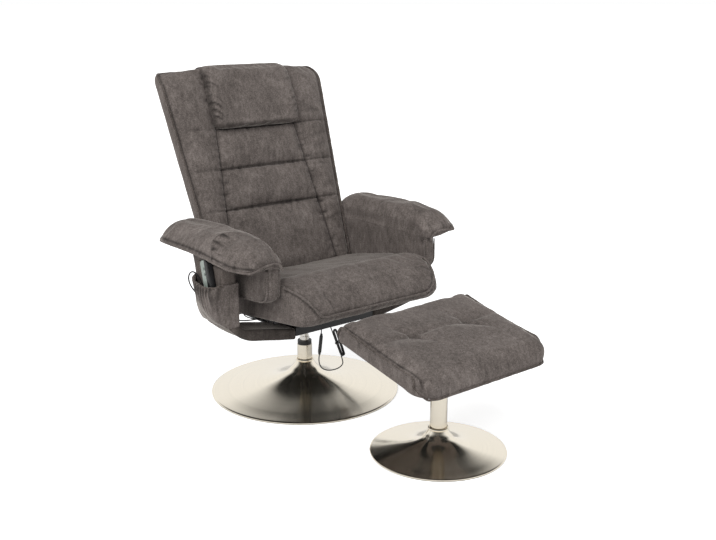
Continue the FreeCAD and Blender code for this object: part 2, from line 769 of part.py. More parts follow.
def back_half_width(s):
    share = (s - BACK_BOTTOM) / (BACK_TOP - BACK_BOTTOM)
    return share_between(BACK_BASE_HALF_W, BACK_TOP_HALF_W, share)


def lobe_half_width(s):
    share = min((s - BACK_BOTTOM) / (CHANNEL_SEAMS[-1] - BACK_BOTTOM), 1.0)
    return share_between(LOBE_BASE_HALF_W, LOBE_TOP_HALF_W, share)


def back_section(s, crown_share, lobe_t, pull):
    """Plan view of the back at one height; pull draws the outline in at its ends."""
    half = back_half_width(s) - pull
    lobe = lobe_half_width(s)
    edge = BACK_EDGE_T - pull / 4
    seam = min(BACK_EDGE_T + SIDE_CROWN - SEAM_SINK, lobe_t + SIDE_CROWN) - pull / 3
    crown = edge + SIDE_CROWN * crown_share
    rear = edge / BACK_REAR_R_PARTS
    turn = rear * CORNER_SHARE

    def at(x, t):
        return Vector(x, -t, s)

    return Part.Wire([
        line(at(half - rear, 0), at(rear - half, 0)),
        arc(at(rear - half, 0), at(turn - half, turn), at(-half, rear)),
        line(at(-half, rear), at(-half, edge)),
        arc(at(-half, edge), at(-(half + lobe) / 2, crown), at(-lobe, seam)),
        arc(at(-lobe, seam), at(0, lobe_t), at(lobe, seam)),
        arc(at(lobe, seam), at((half + lobe) / 2, crown), at(half, edge)),
        line(at(half, edge), at(half, rear)),
        arc(at(half, rear), at(half - turn, turn), at(half - rear, 0)),
    ])


def back_sections():
    """Channels between the cross seams, then the flat bed of the headrest."""
    rows = [(BACK_BOTTOM, 0.0, BACK_EDGE_T - SEAM_SINK / 2, BACK_SHOULDER / 4)]
    low = BACK_BOTTOM
    for seam in CHANNEL_SEAMS:
        reach = seam - low
        for place, swell in CHANNEL_SHARES:
            rows.append((low + reach * place, 1.0, BACK_EDGE_T + LOBE_CROWN * swell, 0))
        rows.append((seam, 0.9, BACK_EDGE_T, 0))
        low = seam
    reach = BACK_TOP - BACK_TOP_ROUND - low
    rows.append((low + reach * CHANNEL_SHARES[0][0], 1.0, HEADREST_BED, 0))
    for place, pull in BACK_TOP_SHARES:
        drawn = BACK_TOP_PULL * pull
        rows.append((BACK_TOP + place * BACK_TOP_ROUND, 1.0 - pull, HEADREST_BED - drawn / 6, drawn))
    return [back_section(*row) for row in rows]


# place between two cross seams, and the swelling there
CHANNEL_SHARES = ((0.12, 0.5), (0.32, 0.93), (0.68, 0.93), (0.88, 0.5))


def headrest_section(x_share, inset, extra):
    """Side view of the pillow and of its lap over the back's top, grown by an extra."""
    x = x_share * (HEADREST_HALF_W + extra)
    grow = extra - inset

    def at(t, up):
        return Vector(x, -t, up)

    front = [at(t - grow * way_t, up - grow * way_up) for t, up, way_t, way_up in HEADREST_FRONT]
    rear = HEADREST_REAR - extra
    foot = at(rear, HEADREST_FOOT[0] - grow)
    rim_rear = at(HEADREST_LAP - extra + inset, HEADREST_RIM - extra)
    rim = at(rear, HEADREST_RIM - extra)
    return Part.Wire([
        line(foot, front[0]), curve(front), line(front[-1], rim_rear), line(rim_rear, rim), line(rim, foot),
    ])


def headrest(extra):
    ends = HEADREST_ENDS
    wires = [headrest_section(-x, inset, extra) for x, inset in ends[:0:-1]]
    wires += [headrest_section(x, inset, extra) for x, inset in ends]
    return Part.makeLoft(wires, True, False)


def back_motor_places():
    span = CHANNEL_SEAMS[1] - BACK_BOTTOM
    heights = [BACK_BOTTOM + span * share for share in BACK_MOTOR_SHARES]
    return [(side * BACK_MOTOR_X, s) for s in heights for side in (RIGHT, LEFT)]


def back_motor(x, s, extra):
    """Capsule lying flat against the back's panel, its axis towards the sitter."""
    rear = -BACK_PANEL_SKIN - BACK_PANEL_T
    radius = MOTOR_R + extra
    return Part.makeCylinder(radius, MOTOR_H + extra, Vector(x, rear, s), Vector(0, -1, 0))


def post(side_x, extra):
    """Flat steel post from the hinge pin up the back's panel, with an eye below."""
    low_x = side_x - extra
    thick = HINGE_PLATE_T + 2 * extra
    front = -POST_W / 2 - extra
    strip = block((low_x, front, 0), (low_x + thick, POST_W / 2 + extra, POST_H + extra))
    eye = rod((low_x, 0, 0), (low_x + thick, 0, 0), POST_W / 2 + extra)
    return strip.fuse(eye).removeSplitter()


def post_x():
    return HINGE_X + HINGE_PLATE_T / 2 + FACE_GAP


def make_back():
    cushion = Part.makeLoft(back_sections(), True, True)
    panel_low = BACK_BOTTOM + BACK_PANEL_MARGIN
    panel_top = BACK_TOP - BACK_PANEL_MARGIN
    low_half = back_half_width(panel_low) - BACK_PANEL_MARGIN
    top_half = back_half_width(panel_top) - BACK_PANEL_MARGIN
    y = -BACK_PANEL_SKIN - BACK_PANEL_T

    def panel(extra):
        corners = [
            Vector(-low_half - extra, y - extra, panel_low - extra),
            Vector(low_half + extra, y - extra, panel_low - extra),
            Vector(top_half + extra, y - extra, panel_top + extra),
            Vector(-top_half - extra, y - extra, panel_top + extra),
        ]
        return Part.Face(Part.makePolygon(corners + corners[:1])).extrude(
            Vector(0, BACK_PANEL_T + 2 * extra, 0))

    posts = [post(post_x(), 0), mirrored(post(post_x(), 0))]
    slots = [post(post_x(), FIT), mirrored(post(post_x(), FIT))]
    board = panel(0).cut(slots)
    rooms = [back_motor(x, s, MOTOR_ROOM) for x, s in back_motor_places()]
    hollow = panel(FIT).fuse(slots + rooms)
    cushion = cushion.cut(headrest(FACE_GAP)).cut(hollow)
    pin_hole = rod((-BACK_BASE_HALF_W, 0, 0), (BACK_BASE_HALF_W, 0, 0), HINGE_PIN_R + RUN)
    posts = [p.cut(pin_hole) for p in posts]
    save("back_cushion", leaned(cushion))
    save("back_panel", leaned(board))
    save("back_posts", leaned(Part.makeCompound(posts)))
    motors = [back_motor(x, s, 0) for x, s in back_motor_places()]
    save("back_motors", leaned(Part.makeCompound(motors)))
    save("headrest_cushion", leaned(headrest(0)))


def hinge_bracket():
    """Plate from the seat's rear rail back to the pin."""
    x = HINGE_X - HINGE_PLATE_T / 2
    foot_low = seat_floor(RAIL_REAR_Y) + DUST_T
    front = SEAT_REAR_Y + FACE_GAP
    corners = [
        Vector(x, front, foot_low), Vector(x, front, foot_low + RAIL_H),
        Vector(x, HINGE_Y, HINGE_Z + HINGE_EYE_R), Vector(x, HINGE_Y + HINGE_EYE_R, HINGE_Z),
    ]
    plate = Part.Face(Part.makePolygon(corners + corners[:1])).extrude(Vector(HINGE_PLATE_T, 0, 0))
    eye = rod((x, HINGE_Y, HINGE_Z), (x + HINGE_PLATE_T, HINGE_Y, HINGE_Z), HINGE_EYE_R)
    tab = block(
        (x - POST_W, front, foot_low), (x + HINGE_PLATE_T, front + HINGE_PLATE_T, foot_low + RAIL_H))
    bore = rod((x - OVERRUN, HINGE_Y, HINGE_Z), (x + 2 * OVERRUN, HINGE_Y, HINGE_Z), HINGE_PIN_R + FIT)
    return plate.fuse([eye, tab]).cut(bore).removeSplitter()


def hinge_pin():
    start = HINGE_X - HINGE_PLATE_T / 2
    end = post_x() + HINGE_PLATE_T + FACE_GAP
    shank = rod((start, HINGE_Y, HINGE_Z), (end, HINGE_Y, HINGE_Z), HINGE_PIN_R)
    inner = rod((start - HINGE_HEAD_T, HINGE_Y, HINGE_Z), (start, HINGE_Y, HINGE_Z), HINGE_HEAD_R)
    outer = rod((end, HINGE_Y, HINGE_Z), (end + HINGE_HEAD_T, HINGE_Y, HINGE_Z), HINGE_HEAD_R)
    return shank.fuse([inner, outer]).removeSplitter()


def make_hinge():
    bracket = hinge_bracket()
    save("hinge_brackets", Part.makeCompound([bracket, mirrored(bracket)]))
    pin = hinge_pin()
    save("hinge_pins", Part.makeCompound([pin, mirrored(pin)]))


# Arms, drawn on the sitter's left

def arm_side_view(x, inset):
    """Outline of the arm's inner panel, drawn in by an inset."""
    slope = math.atan2(ARM_FRONT_Z - ARM_REAR_Z, ARM_REAR_Y - ARM_FRONT_Y)
    front = ARM_FRONT_Y + inset
    rear = ARM_REAR_Y - inset
    radius = ARM_CORNER_R - inset / 2

    def low(y):
        return ARM_REAR_Z + inset + (ARM_REAR_Y - y) * math.tan(slope)

    start = Vector(x, front + radius, low(front + radius))
    end = Vector(x, front, low(front) + radius)
    middle = Vector(x, front + radius * CORNER_SHARE, low(front) + radius * CORNER_SHARE)
    rear_low = Vector(x, rear, low(rear))
    rear_top = Vector(x, rear, ARM_SPLIT_Z)
    front_top = Vector(x, front, ARM_SPLIT_Z)
    return Part.Wire([
        line(rear_low, start), arc(start, middle, end), line(end, front_top),
        line(front_top, rear_top), line(rear_top, rear_low),
    ])


CORNER_SHARE = 1 - math.sqrt(0.5)
ARM_PANEL_SHARES = ((0.0, 1.0), (0.12, 0.42), (0.35, 0.05), (0.65, 0.05), (0.88, 0.42), (1.0, 1.0))


def arm_board():
    x = ARM_INNER_X + ARM_CUSHION
    front = ARM_FRONT_Y + ARM_BOARD_MARGIN
    rear = ARM_REAR_Y - ARM_BOARD_MARGIN
    low = max(ARM_FRONT_Z, ARM_REAR_Z) + ARM_CUSHION
    board = block((x, front, low), (x + ARM_BOARD_T, rear, ARM_SPLIT_Z))
    for y, z in arm_bolt_places():
        board = board.cut(arm_bolt(y, z, FIT))
    return board


def arm_panel():
    def section(place, roundness):
        x = share_between(ARM_INNER_X, ARM_OUTER_X, place)
        return arm_side_view(x, roundness * ARM_CUSHION)

    wires = [section(*shares) for shares in ARM_PANEL_SHARES]
    panel = Part.makeLoft(wires, True, True)
    x = ARM_INNER_X + ARM_CUSHION - FIT
    front = ARM_FRONT_Y + ARM_BOARD_MARGIN - FIT
    rear = ARM_REAR_Y - ARM_BOARD_MARGIN + FIT
    low = max(ARM_FRONT_Z, ARM_REAR_Z) + ARM_CUSHION - FIT
    slot = block((x, front, low), (x + ARM_BOARD_T + 2 * FIT, rear, ARM_SPLIT_Z + OVERRUN))
    panel = panel.cut(slot)
    for y, z in arm_bolt_places():
        panel = panel.cut(arm_spacer(y, z, FIT))
    return panel


def roll_section(place, height, reach, drop):
    """Cross-section of the padded roll, inner side towards the sitter."""
    y = share_between(ROLL_REAR_Y, ROLL_FRONT_Y, place)
    low = ARM_SPLIT_Z + FIT
    top = low + height * (ROLL_TOP_Z - low)
    lip_x = ROLL_CREST_X + reach * (ROLL_LIP_X - ROLL_CREST_X)
    lip_z = min(ROLL_LIP_Z - drop * ROLL_LIP_DROP, top - ROLL_LIP_T)
    inner = ROLL_INNER_X + (1 - height) * ARM_CUSHION
    side_z = share_between(low, top, 0.45)
    crest = Vector(ROLL_CREST_X, y, top)
    inner_low = Vector(inner, y, low)
    inner_side = Vector(inner - ARM_CUSHION / 4, y, side_z)
    shoulder = Vector(share_between(inner, ROLL_CREST_X, 0.3), y, share_between(side_z, top, 0.78))
    brow = Vector(share_between(ROLL_CREST_X, lip_x, 0.66), y, share_between(lip_z, top, 0.72))
    lip = Vector(lip_x, y, lip_z)
    hem = Vector(lip_x - ROLL_LIP_T / 2, y, lip_z - ROLL_LIP_T / 2)
    under = Vector(ROLL_UNDER_X, y, low)
    return Part.Wire([
        line(inner_low, inner_side), arc(inner_side, shoulder, crest), arc(crest, brow, lip),
        line(lip, hem), line(hem, under), line(under, inner_low),
    ])


def make_arms():
    board = arm_board()
    save("arm_boards", Part.makeCompound([board, mirrored(board)]))
    panel = arm_panel()
    roll = Part.makeLoft([roll_section(*shares) for shares in ROLL_SHARES], True, False)
    for name, side in (("left", LEFT), ("right", RIGHT)):
        save(name + "_arm_panel", on_side(panel, side))
        save(name + "_arm_roll", on_side(roll, side))


# Handset and its pocket

def pocket_loft(inset, floor, over, flap):
    """Sleeve round the band that swells on its outer face, drawn in by its wall's thickness."""
    front = BAND_FRONT_Y - POCKET_WALL - FACE_GAP + inset
    rear = BAND_FRONT_Y + BAND_W + POCKET_WALL + FACE_GAP - inset
    wires = []
    levels = [(z + (floor if i == 0 else 0), swell, start) for i, (z, swell, start) in enumerate(POCKET_LEVELS)]
    levels[-1] = (levels[-1][0] + over, levels[-1][1], levels[-1][2])
    for z, swell, start in levels:
        base = band_outer_x(z) + POCKET_WALL + FACE_GAP - inset
        out = band_outer_x(z) + max(swell, POCKET_WALL + FACE_GAP) - inset
        round_x = min(POCKET_CORNER, out - base + FACE_GAP)
        a = Vector(-flap, rear, z)
        b = Vector(-base, rear, z)
        mid = Vector(-(base + out) / 2 - round_x / 4, (rear + start) / 2, z)
        c = Vector(-out, start, z)
        d = Vector(-out, front + POCKET_CORNER, z)
        bow = Vector(-out - FACE_GAP * 4, (start + d.y) / 2, z)
        e = Vector(-out + round_x, front, z)
        corner = Vector(-out + round_x * CORNER_SHARE, front + POCKET_CORNER * CORNER_SHARE, z)
        f = Vector(-flap, front, z)
        wires.append(Part.Wire([
            line(a, b), arc(b, mid, c), arc(c, bow, d), arc(d, corner, e), line(e, f), line(f, a)]))
    return Part.makeLoft(wires, True, False)


def make_pocket():
    outer = pocket_loft(0, 0, 0, POCKET_FLAP_X)
    inner = pocket_loft(POCKET_WALL, POCKET_FLOOR, OVERRUN, BAND_X)
    band = band_outline(
        BAND_T / 2 + FIT, BAND_RUN_T - BAND_T / 2 + FIT, BAND_OUTER_R + FIT, BAND_INNER_R - FIT,
        BAND_START_X, BAND_TOP_Z, BAND_FRONT_Y - FIT, BAND_W + 2 * FIT)
    holes = [mirrored(arm_spacer(y, z, FACE_GAP)) for y, z in arm_bolt_places()]
    save("handset_pocket", outer.cut([inner, mirrored(band)] + holes))


def handset_outline(x, inset):
    half = HANDSET_HALF_W - inset
    low = inset
    high = HANDSET_L - inset
    r = HANDSET_CORNER_R

    def corner(cy, cz, turn):
        points = []
        for share in (0.0, 0.5, 1.0):
            angle = math.pi / 2 * (turn + share)
            points.append(Vector(x, cy + r * math.cos(angle), cz + r * math.sin(angle)))
        return points

    corners = [
        corner(half - r, high - r, 0), corner(r - half, high - r, 1),
        corner(r - half, low + r, 2), corner(half - r, low + r, 3),
    ]
    edges = []
    for i, points in enumerate(corners):
        edges.append(arc(*points))
        edges.append(line(points[2], corners[(i + 1) % len(corners)][0]))
    return Part.Wire(edges)


def handset_half(x_from, x_to):
    """Moulded half, its outer face a little smaller than its parting line."""
    edge = HANDSET_FACE_T / 2
    wires = [handset_outline(x_from, 0), handset_outline(share_between(x_from, x_to, 0.6), 0),
             handset_outline(x_to, edge / 2)]
    return Part.makeLoft(wires, True, True)


def stowed(shape):
    """Puts the upright handset in its pocket, leaning back."""
    shape = shape.copy()
    shape.rotate(ORIGIN, X_AXIS, -HANDSET_LEAN)
    shape.translate(Vector(-(BAND_X + BAND_T / 2 + HANDSET_STAND_OFF), *HANDSET_FOOT))
    return shape


def make_handset():
    split = -(HANDSET_T - HANDSET_FACE_T)
    rear = handset_half(split, 0)
    face = handset_half(split, -HANDSET_T)
    for name, z in KEY_HEIGHTS.items():
        hole = rod((split + KEY_SINK, 0, z), (-HANDSET_T - OVERRUN, 0, z), KEY_R + FIT)
        rear = rear.cut(hole)
        face = face.cut(hole)
        key = rod((split, 0, z), (-HANDSET_T - KEY_PROUD, 0, z), KEY_R)
        save(name, stowed(key))
    save("handset_rear_case", stowed(rear))
    save("handset_face", stowed(face))


# Lever and control box

def make_lever():
    tip = PAN_SIDE_X + FACE_GAP
    inner = PAN_SIDE_X - PAN_T - LEVER_HUB_R
    shaft = rod((inner, LEVER_Y, LEVER_Z), (LEVER_REACH, LEVER_Y, LEVER_Z), LEVER_ROD_R)
    stop = rod((tip, LEVER_Y, LEVER_Z), (tip + LEVER_ARM_T, LEVER_Y, LEVER_Z), LEVER_HUB_R)
    half = LEVER_ARM_W / 2
    arm = block(
        (LEVER_REACH - LEVER_ARM_T, LEVER_Y, LEVER_Z - half),
        (LEVER_REACH, LEVER_Y + LEVER_ARM_L, LEVER_Z + half))
    eye = rod((LEVER_REACH - LEVER_ARM_T, LEVER_Y, LEVER_Z), (LEVER_REACH, LEVER_Y, LEVER_Z), half)
    save("recline_lever", shaft.fuse([stop, arm, eye]).removeSplitter())

    centre = LEVER_REACH - LEVER_ARM_T / 2
    start = LEVER_Y + LEVER_ARM_L - GRIP_L
    grip = block(
        (centre - GRIP_T / 2, start, LEVER_Z - GRIP_W / 2),
        (centre + GRIP_T / 2, start + GRIP_L + LEVER_ARM_T, LEVER_Z + GRIP_W / 2))
    grip = grip.makeFillet(GRIP_T / 4, grip.Edges)
    socket = block(
        (LEVER_REACH - LEVER_ARM_T - FIT, start - OVERRUN, LEVER_Z - half - FIT),
        (LEVER_REACH + FIT, start + GRIP_L + FIT, LEVER_Z + half + FIT))
    save("lever_grip", grip.cut(socket))


def make_control_box():
    low = PAN_Z + PAN_T
    body = block((-BOX_X, BOX_FRONT_Y, low), (BOX_X, BOX_FRONT_Y + BOX_DEPTH, low + BOX_H))
    save("control_box", body.makeFillet(BOX_H / 8, body.Edges))


# Footstool

def stool_section(x_share, round_share):
    """Side view of the stool's pad, level, its underside's middle at the origin."""
    x = x_share * STOOL_HALF_W
    draw = round_share * STOOL_CORNER_R
    drop = round_share * STOOL_SIDE_DROP
    rear = STOOL_HALF_L - draw * STOOL_REAR_SHARE
    front = -STOOL_HALF_L + draw / 2
    top = STOOL_BOX_T - drop
    rear_low = Vector(x, rear - STOOL_SIDE_DROP, 0)
    rear_top = Vector(x, rear, top + STOOL_REAR_RISE)
    middle = Vector(x, (rear + front + STOOL_NOSE) / 2, top + STOOL_CROWN * (1 - round_share))
    nose_start = Vector(x, front + STOOL_NOSE, top)
    nose = Vector(x, front + STOOL_NOSE * CORNER_SHARE, top - STOOL_NOSE * CORNER_SHARE)
    front_low = Vector(x, front, top - STOOL_NOSE)
    return Part.Wire([
        line(rear_low, rear_top), arc(rear_top, middle, nose_start), arc(nose_start, nose, front_low),
        line(front_low, Vector(x, front + STOOL_SIDE_DROP, 0)),
        line(Vector(x, front + STOOL_SIDE_DROP, 0), rear_low),
    ])


def sloped(shape):
    """Turns the level pad to its slope and sets it on its place."""
    shape = shape.copy()
    shape.rotate(ORIGIN, X_AXIS, STOOL_TILT)
    shape.translate(Vector(0, *STOOL_MID))
    return shape


def stool_column_top():
    slope = math.tan(math.radians(STOOL_TILT))
    return STOOL_MID[1] + (STOOL_Y - STOOL_MID[0]) * slope - STOOL_PLATE_T / math.cos(math.radians(STOOL_TILT))


def make_stool():
    pad = Part.makeLoft(across(stool_section, STOOL_SECTION_SHARES), True, False)
    half_x = STOOL_HALF_W - STOOL_BOARD_MARGIN
    half_y = STOOL_HALF_L - STOOL_BOARD_MARGIN
    board = block((-half_x, -half_y, 0), (half_x, half_y, STOOL_BOARD_T))
    well = block(
        (-half_x - FIT, -half_y - FIT, -OVERRUN), (half_x + FIT, half_y + FIT, STOOL_BOARD_T + FIT))
    motors = [ring_at(MOTOR_R, MOTOR_H, side * TUFT_X, -TUFT_FORWARD, STOOL_BOARD_T)
              for side in (RIGHT, LEFT)]
    rooms = [ring_at(MOTOR_R + MOTOR_ROOM, MOTOR_H + FIT, side * TUFT_X, -TUFT_FORWARD, STOOL_BOARD_T)
             for side in (RIGHT, LEFT)]
    tops = STOOL_BOX_T + STOOL_CROWN
    tufts = []
    for side in (RIGHT, LEFT):
        centre = Vector(side * TUFT_X, TUFT_TURN * TUFT_FORWARD, tops - TUFT_DEPTH + TUFT_R)
        tufts.append(Part.makeSphere(TUFT_R, centre))
    pad = pad.cut([well] + rooms + tufts)
    save("stool_cushion", sloped(pad))
    save("stool_board", sloped(board))
    save("stool_motors", sloped(Part.makeCompound(motors)))
    half = STOOL_PLATE_HALF
    plate = block((-half, -half, -STOOL_PLATE_T), (half, half, 0))
    plate.translate(Vector(0, (STOOL_Y - STOOL_MID[0]) / math.cos(math.radians(STOOL_TILT)), 0))
    plate = sloped(plate)
    save("stool_top_plate", plate)
    tube = at_stool(column(STOOL_MID[1]))
    under = sloped(block((-half, -2 * half, -STOOL_PLATE_T), (half, 2 * half, STOOL_MID[1])))
    save("stool_column", tube.cut(under))


TUFT_TURN = -1


# Leads

def rounded_path(points):
    """Straight runs joined by the largest tangent arcs that they allow."""
    points = [Vector(*p) for p in points]
    edges = []
    radii = []
    start = points[0]
    for before, corner, after in zip(points, points[1:], points[2:]):
        back = before.sub(corner)
        on = after.sub(corner)
        turn = math.pi - back.getAngle(on)
        cut = RUN_SHARE * min(back.Length, on.Length)
        radius = cut / math.tan(turn / 2)
        back.normalize()
        on.normalize()
        first = corner.add(Vector(back).multiply(cut))
        last = corner.add(Vector(on).multiply(cut))
        inward = back.add(on).normalize()
        bow = radius / math.cos(turn / 2) - radius
        edges.append(line(start, first))
        edges.append(arc(first, corner.add(inward.multiply(bow)), last))
        start = last
        radii.append(radius)
    edges.append(line(start, points[-1]))
    return Part.Wire(edges), radii


def piped(path, start, way, diameter):
    """Round tube swept along a path."""
    profile = Part.Wire(Part.makeCircle(diameter / 2, start, way))
    shell = Part.BRepOffsetAPI.MakePipeShell(path)
    shell.add(profile)
    shell.build()
    shell.makeSolid()
    return shell.shape()


def lead(name, points, diameter):
    path, radii = rounded_path(points)
    first = Vector(*points[0])
    tube = piped(path, first, Vector(*points[1]).sub(first), diameter)
    expected = math.pi * diameter ** 2 / 4 * path.Length
    tightest = min(radii) if radii else path.Length
    print(name, "length", round(path.Length, 1), "least radius", round(tightest, 1),
          "volume over section x length", round(tube.Volume / expected, 4))
    save(name, tube)


def hank_edges():
    """Flat spiral in, up one layer along a run, and flat spiral out again.

    Drawn with X across the hank, Z along its runs and Y through its layers."""
    left_out, right_out = -HANK_HALF_W, HANK_HALF_W
    left_in, right_in = left_out + HANK_PITCH, right_out - HANK_PITCH
    top, foot, layer = HANK_RUN, 0, HANK_PITCH
    turns = [
        (left_out, right_out, top, 0), (right_out, left_in, foot, 0), (left_in, right_in, top, 0),
        (right_in, left_in, foot, layer), (left_in, right_out, top, layer), (right_out, left_out, foot, layer),
    ]
    edges = []
    at = Vector(left_out, 0, -HANK_TAIL)
    for x_from, x_to, z, y in turns:
        start = Vector(x_from, y, z)
        if start.y == at.y:
            edges.append(line(at, start))
        else:
            edges += climb(at, start)
        radius = abs(x_to - x_from) / 2
        bow = radius if z > foot else -radius
        end = Vector(x_to, y, z)
        edges.append(arc(start, Vector((x_from + x_to) / 2, y, z + bow), end))
        at = end
    edges.append(line(at, Vector(at.x, at.y, top + HANK_HEAD)))
    return edges


def climb(low, high):
    """Two equal arcs that carry a run from one layer to the next."""
    length = high.z - low.z
    rise = high.y - low.y
    radius = (length ** 2 + rise ** 2) / (4 * rise)
    middle = low.add(high).multiply(0.5)
    quarter = length / 4
    sag = radius - math.sqrt(radius ** 2 - quarter ** 2)
    first = Vector(low.x, low.y + sag, low.z + quarter)
    second = Vector(low.x, high.y - sag, high.z - quarter)
    return [arc(low, first, middle), arc(middle, second, high)]


def least_gap(points, diameter):
    """Smallest air gap of a lead to itself, leaving out its own neighbourhood."""
    own = 6 * diameter
    step = points[0].distanceToPoint(points[1])
    skip = int(own / step)
    best = min(
        points[i].distanceToPoint(points[j])
        for i in range(len(points)) for j in range(i + skip, len(points)))
    return best - diameter


def place_hank(shape):
    shape = shape.copy()
    shape.rotate(ORIGIN, Y_AXIS, -HANK_LEAN)
    shape.translate(Vector(*HANK_FOOT))
    return shape


def make_leads():
    top, foot = Vector(*CONNECTOR_TOP), Vector(*CONNECTOR_FOOT)
    way = top.sub(foot).normalize()
    low_end = foot.add(Vector(way).multiply(CONNECTOR_TAPER))
    high_end = top.sub(Vector(way).multiply(CONNECTOR_TAPER))
    body = Part.makeCylinder(CONNECTOR_R, high_end.distanceToPoint(low_end), low_end, way)
    lower = Part.makeCone(CONNECTOR_END_R, CONNECTOR_R, CONNECTOR_TAPER, foot, way)
    upper = Part.makeCone(CONNECTOR_R, CONNECTOR_END_R, CONNECTOR_TAPER, high_end, way)
    save("lead_connector", body.fuse([lower, upper]).removeSplitter())
    lead("lead_drop", LEAD_DROP, LEAD_D)

    path = Part.Wire(hank_edges())
    start = Vector(-HANK_HALF_W, 0, -HANK_TAIL)
    tube = piped(path, start, Z_AXIS, LEAD_D)
    samples = path.discretize(Distance=LEAD_D)
    print("lead_hank length", round(path.Length, 1), "least gap", round(least_gap(samples, LEAD_D), 2),
          "volume over section x length", round(tube.Volume / (math.pi * LEAD_D ** 2 / 4 * path.Length), 4))
    save("lead_hank", place_hank(tube))
    half = HANK_HALF_W + LEAD_D / 2 + FACE_GAP
    deep = HANK_PITCH + LEAD_D / 2 + FACE_GAP
    middle = HANK_RUN / 2
    outer = block(
        (-half - TIE_T, -LEAD_D / 2 - FACE_GAP - TIE_T, middle), (half + TIE_T, deep + TIE_T, middle + TIE_W))
    inner = block(
        (-half, -LEAD_D / 2 - FACE_GAP, middle - OVERRUN), (half, deep, middle + TIE_W + OVERRUN))
    save("hank_tie", place_hank(outer.cut(inner)))
    joint = place_hank(Part.Vertex(start)).Point
    lead("lead_loop", LEAD_LOOP + [(joint.x, joint.y, joint.z)], LEAD_D)
    on_band = [(-band_outer_x(z) - reach, y, z) for reach, y, z in LEAD_IN_POCKET]
    lead("handset_lead", on_band + LEAD_UNDER_SEAT, HANDSET_LEAD_D)
    lead("seat_motor_lead", MOTOR_LEAD, LEAD_D)


def main():
    os.makedirs("parts", exist_ok=True)
    make_bases()
    make_swivel()
    make_pan()
    make_crossbars()
    make_bars_and_bands()
    make_seat()
    make_back()
    make_hinge()
    make_arms()
    make_pocket()
    make_handset()
    make_lever()
    make_control_box()
    make_stool()
    make_leads()


main()
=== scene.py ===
import json
import math

import bpy
import numpy as np
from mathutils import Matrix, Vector, kdtree, noise

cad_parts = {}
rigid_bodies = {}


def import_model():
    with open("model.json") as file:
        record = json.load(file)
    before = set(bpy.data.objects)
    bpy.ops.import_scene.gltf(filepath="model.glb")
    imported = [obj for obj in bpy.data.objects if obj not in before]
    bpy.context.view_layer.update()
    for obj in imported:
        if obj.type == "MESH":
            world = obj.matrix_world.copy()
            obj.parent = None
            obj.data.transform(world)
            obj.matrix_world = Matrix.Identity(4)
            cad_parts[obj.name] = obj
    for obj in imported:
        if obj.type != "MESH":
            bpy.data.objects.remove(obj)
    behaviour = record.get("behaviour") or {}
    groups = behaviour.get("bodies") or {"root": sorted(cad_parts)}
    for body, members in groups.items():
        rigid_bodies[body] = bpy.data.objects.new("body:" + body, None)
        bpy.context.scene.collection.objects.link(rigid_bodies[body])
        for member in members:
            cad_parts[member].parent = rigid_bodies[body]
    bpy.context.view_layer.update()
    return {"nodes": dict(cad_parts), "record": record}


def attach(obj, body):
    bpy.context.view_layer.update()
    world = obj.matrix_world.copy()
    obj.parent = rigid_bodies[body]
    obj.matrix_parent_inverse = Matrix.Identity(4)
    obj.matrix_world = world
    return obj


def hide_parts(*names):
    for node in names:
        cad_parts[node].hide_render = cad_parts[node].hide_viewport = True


# Massage armchair and footstool. Lengths are millimetres in the model's frame; meshes are made in metres.

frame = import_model()
nodes = frame["nodes"]

MM = 0.001
LEFT = 1
RIGHT = -1

# Camera of the photograph
CAMERA_AT = (-1.8105, -2.4392, 1.2067)
CAMERA_TURN = (75.02, 0.0, -39.82)
CAMERA_LENS = 50.15

# Sizes shared with the model's source
CHAIR_BASE_R = 300.0
STOOL_BASE_R = 191.0
CHAIR_NECK_Z = 98.0
STOOL_NECK_Z = 68.0
NECK_R = 26.0
RIM_Z = 6.5
SKIRT_Z = 1.5
STOOL_Y = -616.0
FLARE_SHARES = ((1.0, 0.0), (0.82, 0.066), (0.4, 0.25), (0.17, 0.478), (0.066, 0.74), (0.0, 1.0))

BAND_X = 379.0
BAND_T = 48.0
BAND_RUN_T = 32.0
BAND_FRONT_Y = -165.0
BAND_W = 135.0
BAND_RISE = 10.5
BAND_OUTER_R = 129.0
BAND_INNER_R = 42.0
BAND_START_X = 153.0
BAND_TOP_Z = 501.0
BAND_LINE_Z = 258.0
BAND_KNEE_X = 112.0
BAND_EDGE_R = 9.0
BAND_NARROW = 30.0
BAND_BEND_X = 372.0

SEAT_HALF_W = 271.5
SEAT_REAR = (80.0, 388.0)
SEAT_DISH = (-60.0, 419.0)
SEAT_CREST = (-192.0, 441.0)
SEAT_NOSE = (-321.0, 420.0)
SEAT_WELT = (-352.0, 362.0)
SEAT_LIP = (-333.0, 338.5)
SEAT_BASE_Z = 304.0
SEAT_TILT = 6.0
SEAT_SIDE_DROP = 6.0
SEAT_SIDE_PULL = 50.0
SEAT_SIDE_LIFT = 10.0
RAIL_HALF_X = 226.0
RAIL_FRONT_Y = -292.0
RAIL_REAR_Y = 62.0

HINGE_Y = 120.0
HINGE_Z = 352.0
BACK_LEAN = 20.5
BACK_BOTTOM = 13.0
BACK_TOP = 685.0
BACK_EDGE_T = 43.0
BACK_BASE_HALF_W = 258.0
BACK_TOP_HALF_W = 304.0
LOBE_BASE_HALF_W = 200.0
LOBE_TOP_HALF_W = 150.0
SIDE_CROWN = 15.0
SEAM_SINK = 8.0
LOBE_CROWN = 20.0
CHANNEL_SEAMS = (229.0, 358.0, 487.0)
HEADREST_BED = 38.0
BACK_TOP_PULL = 40.0
BACK_TOP_ROUND = 42.0

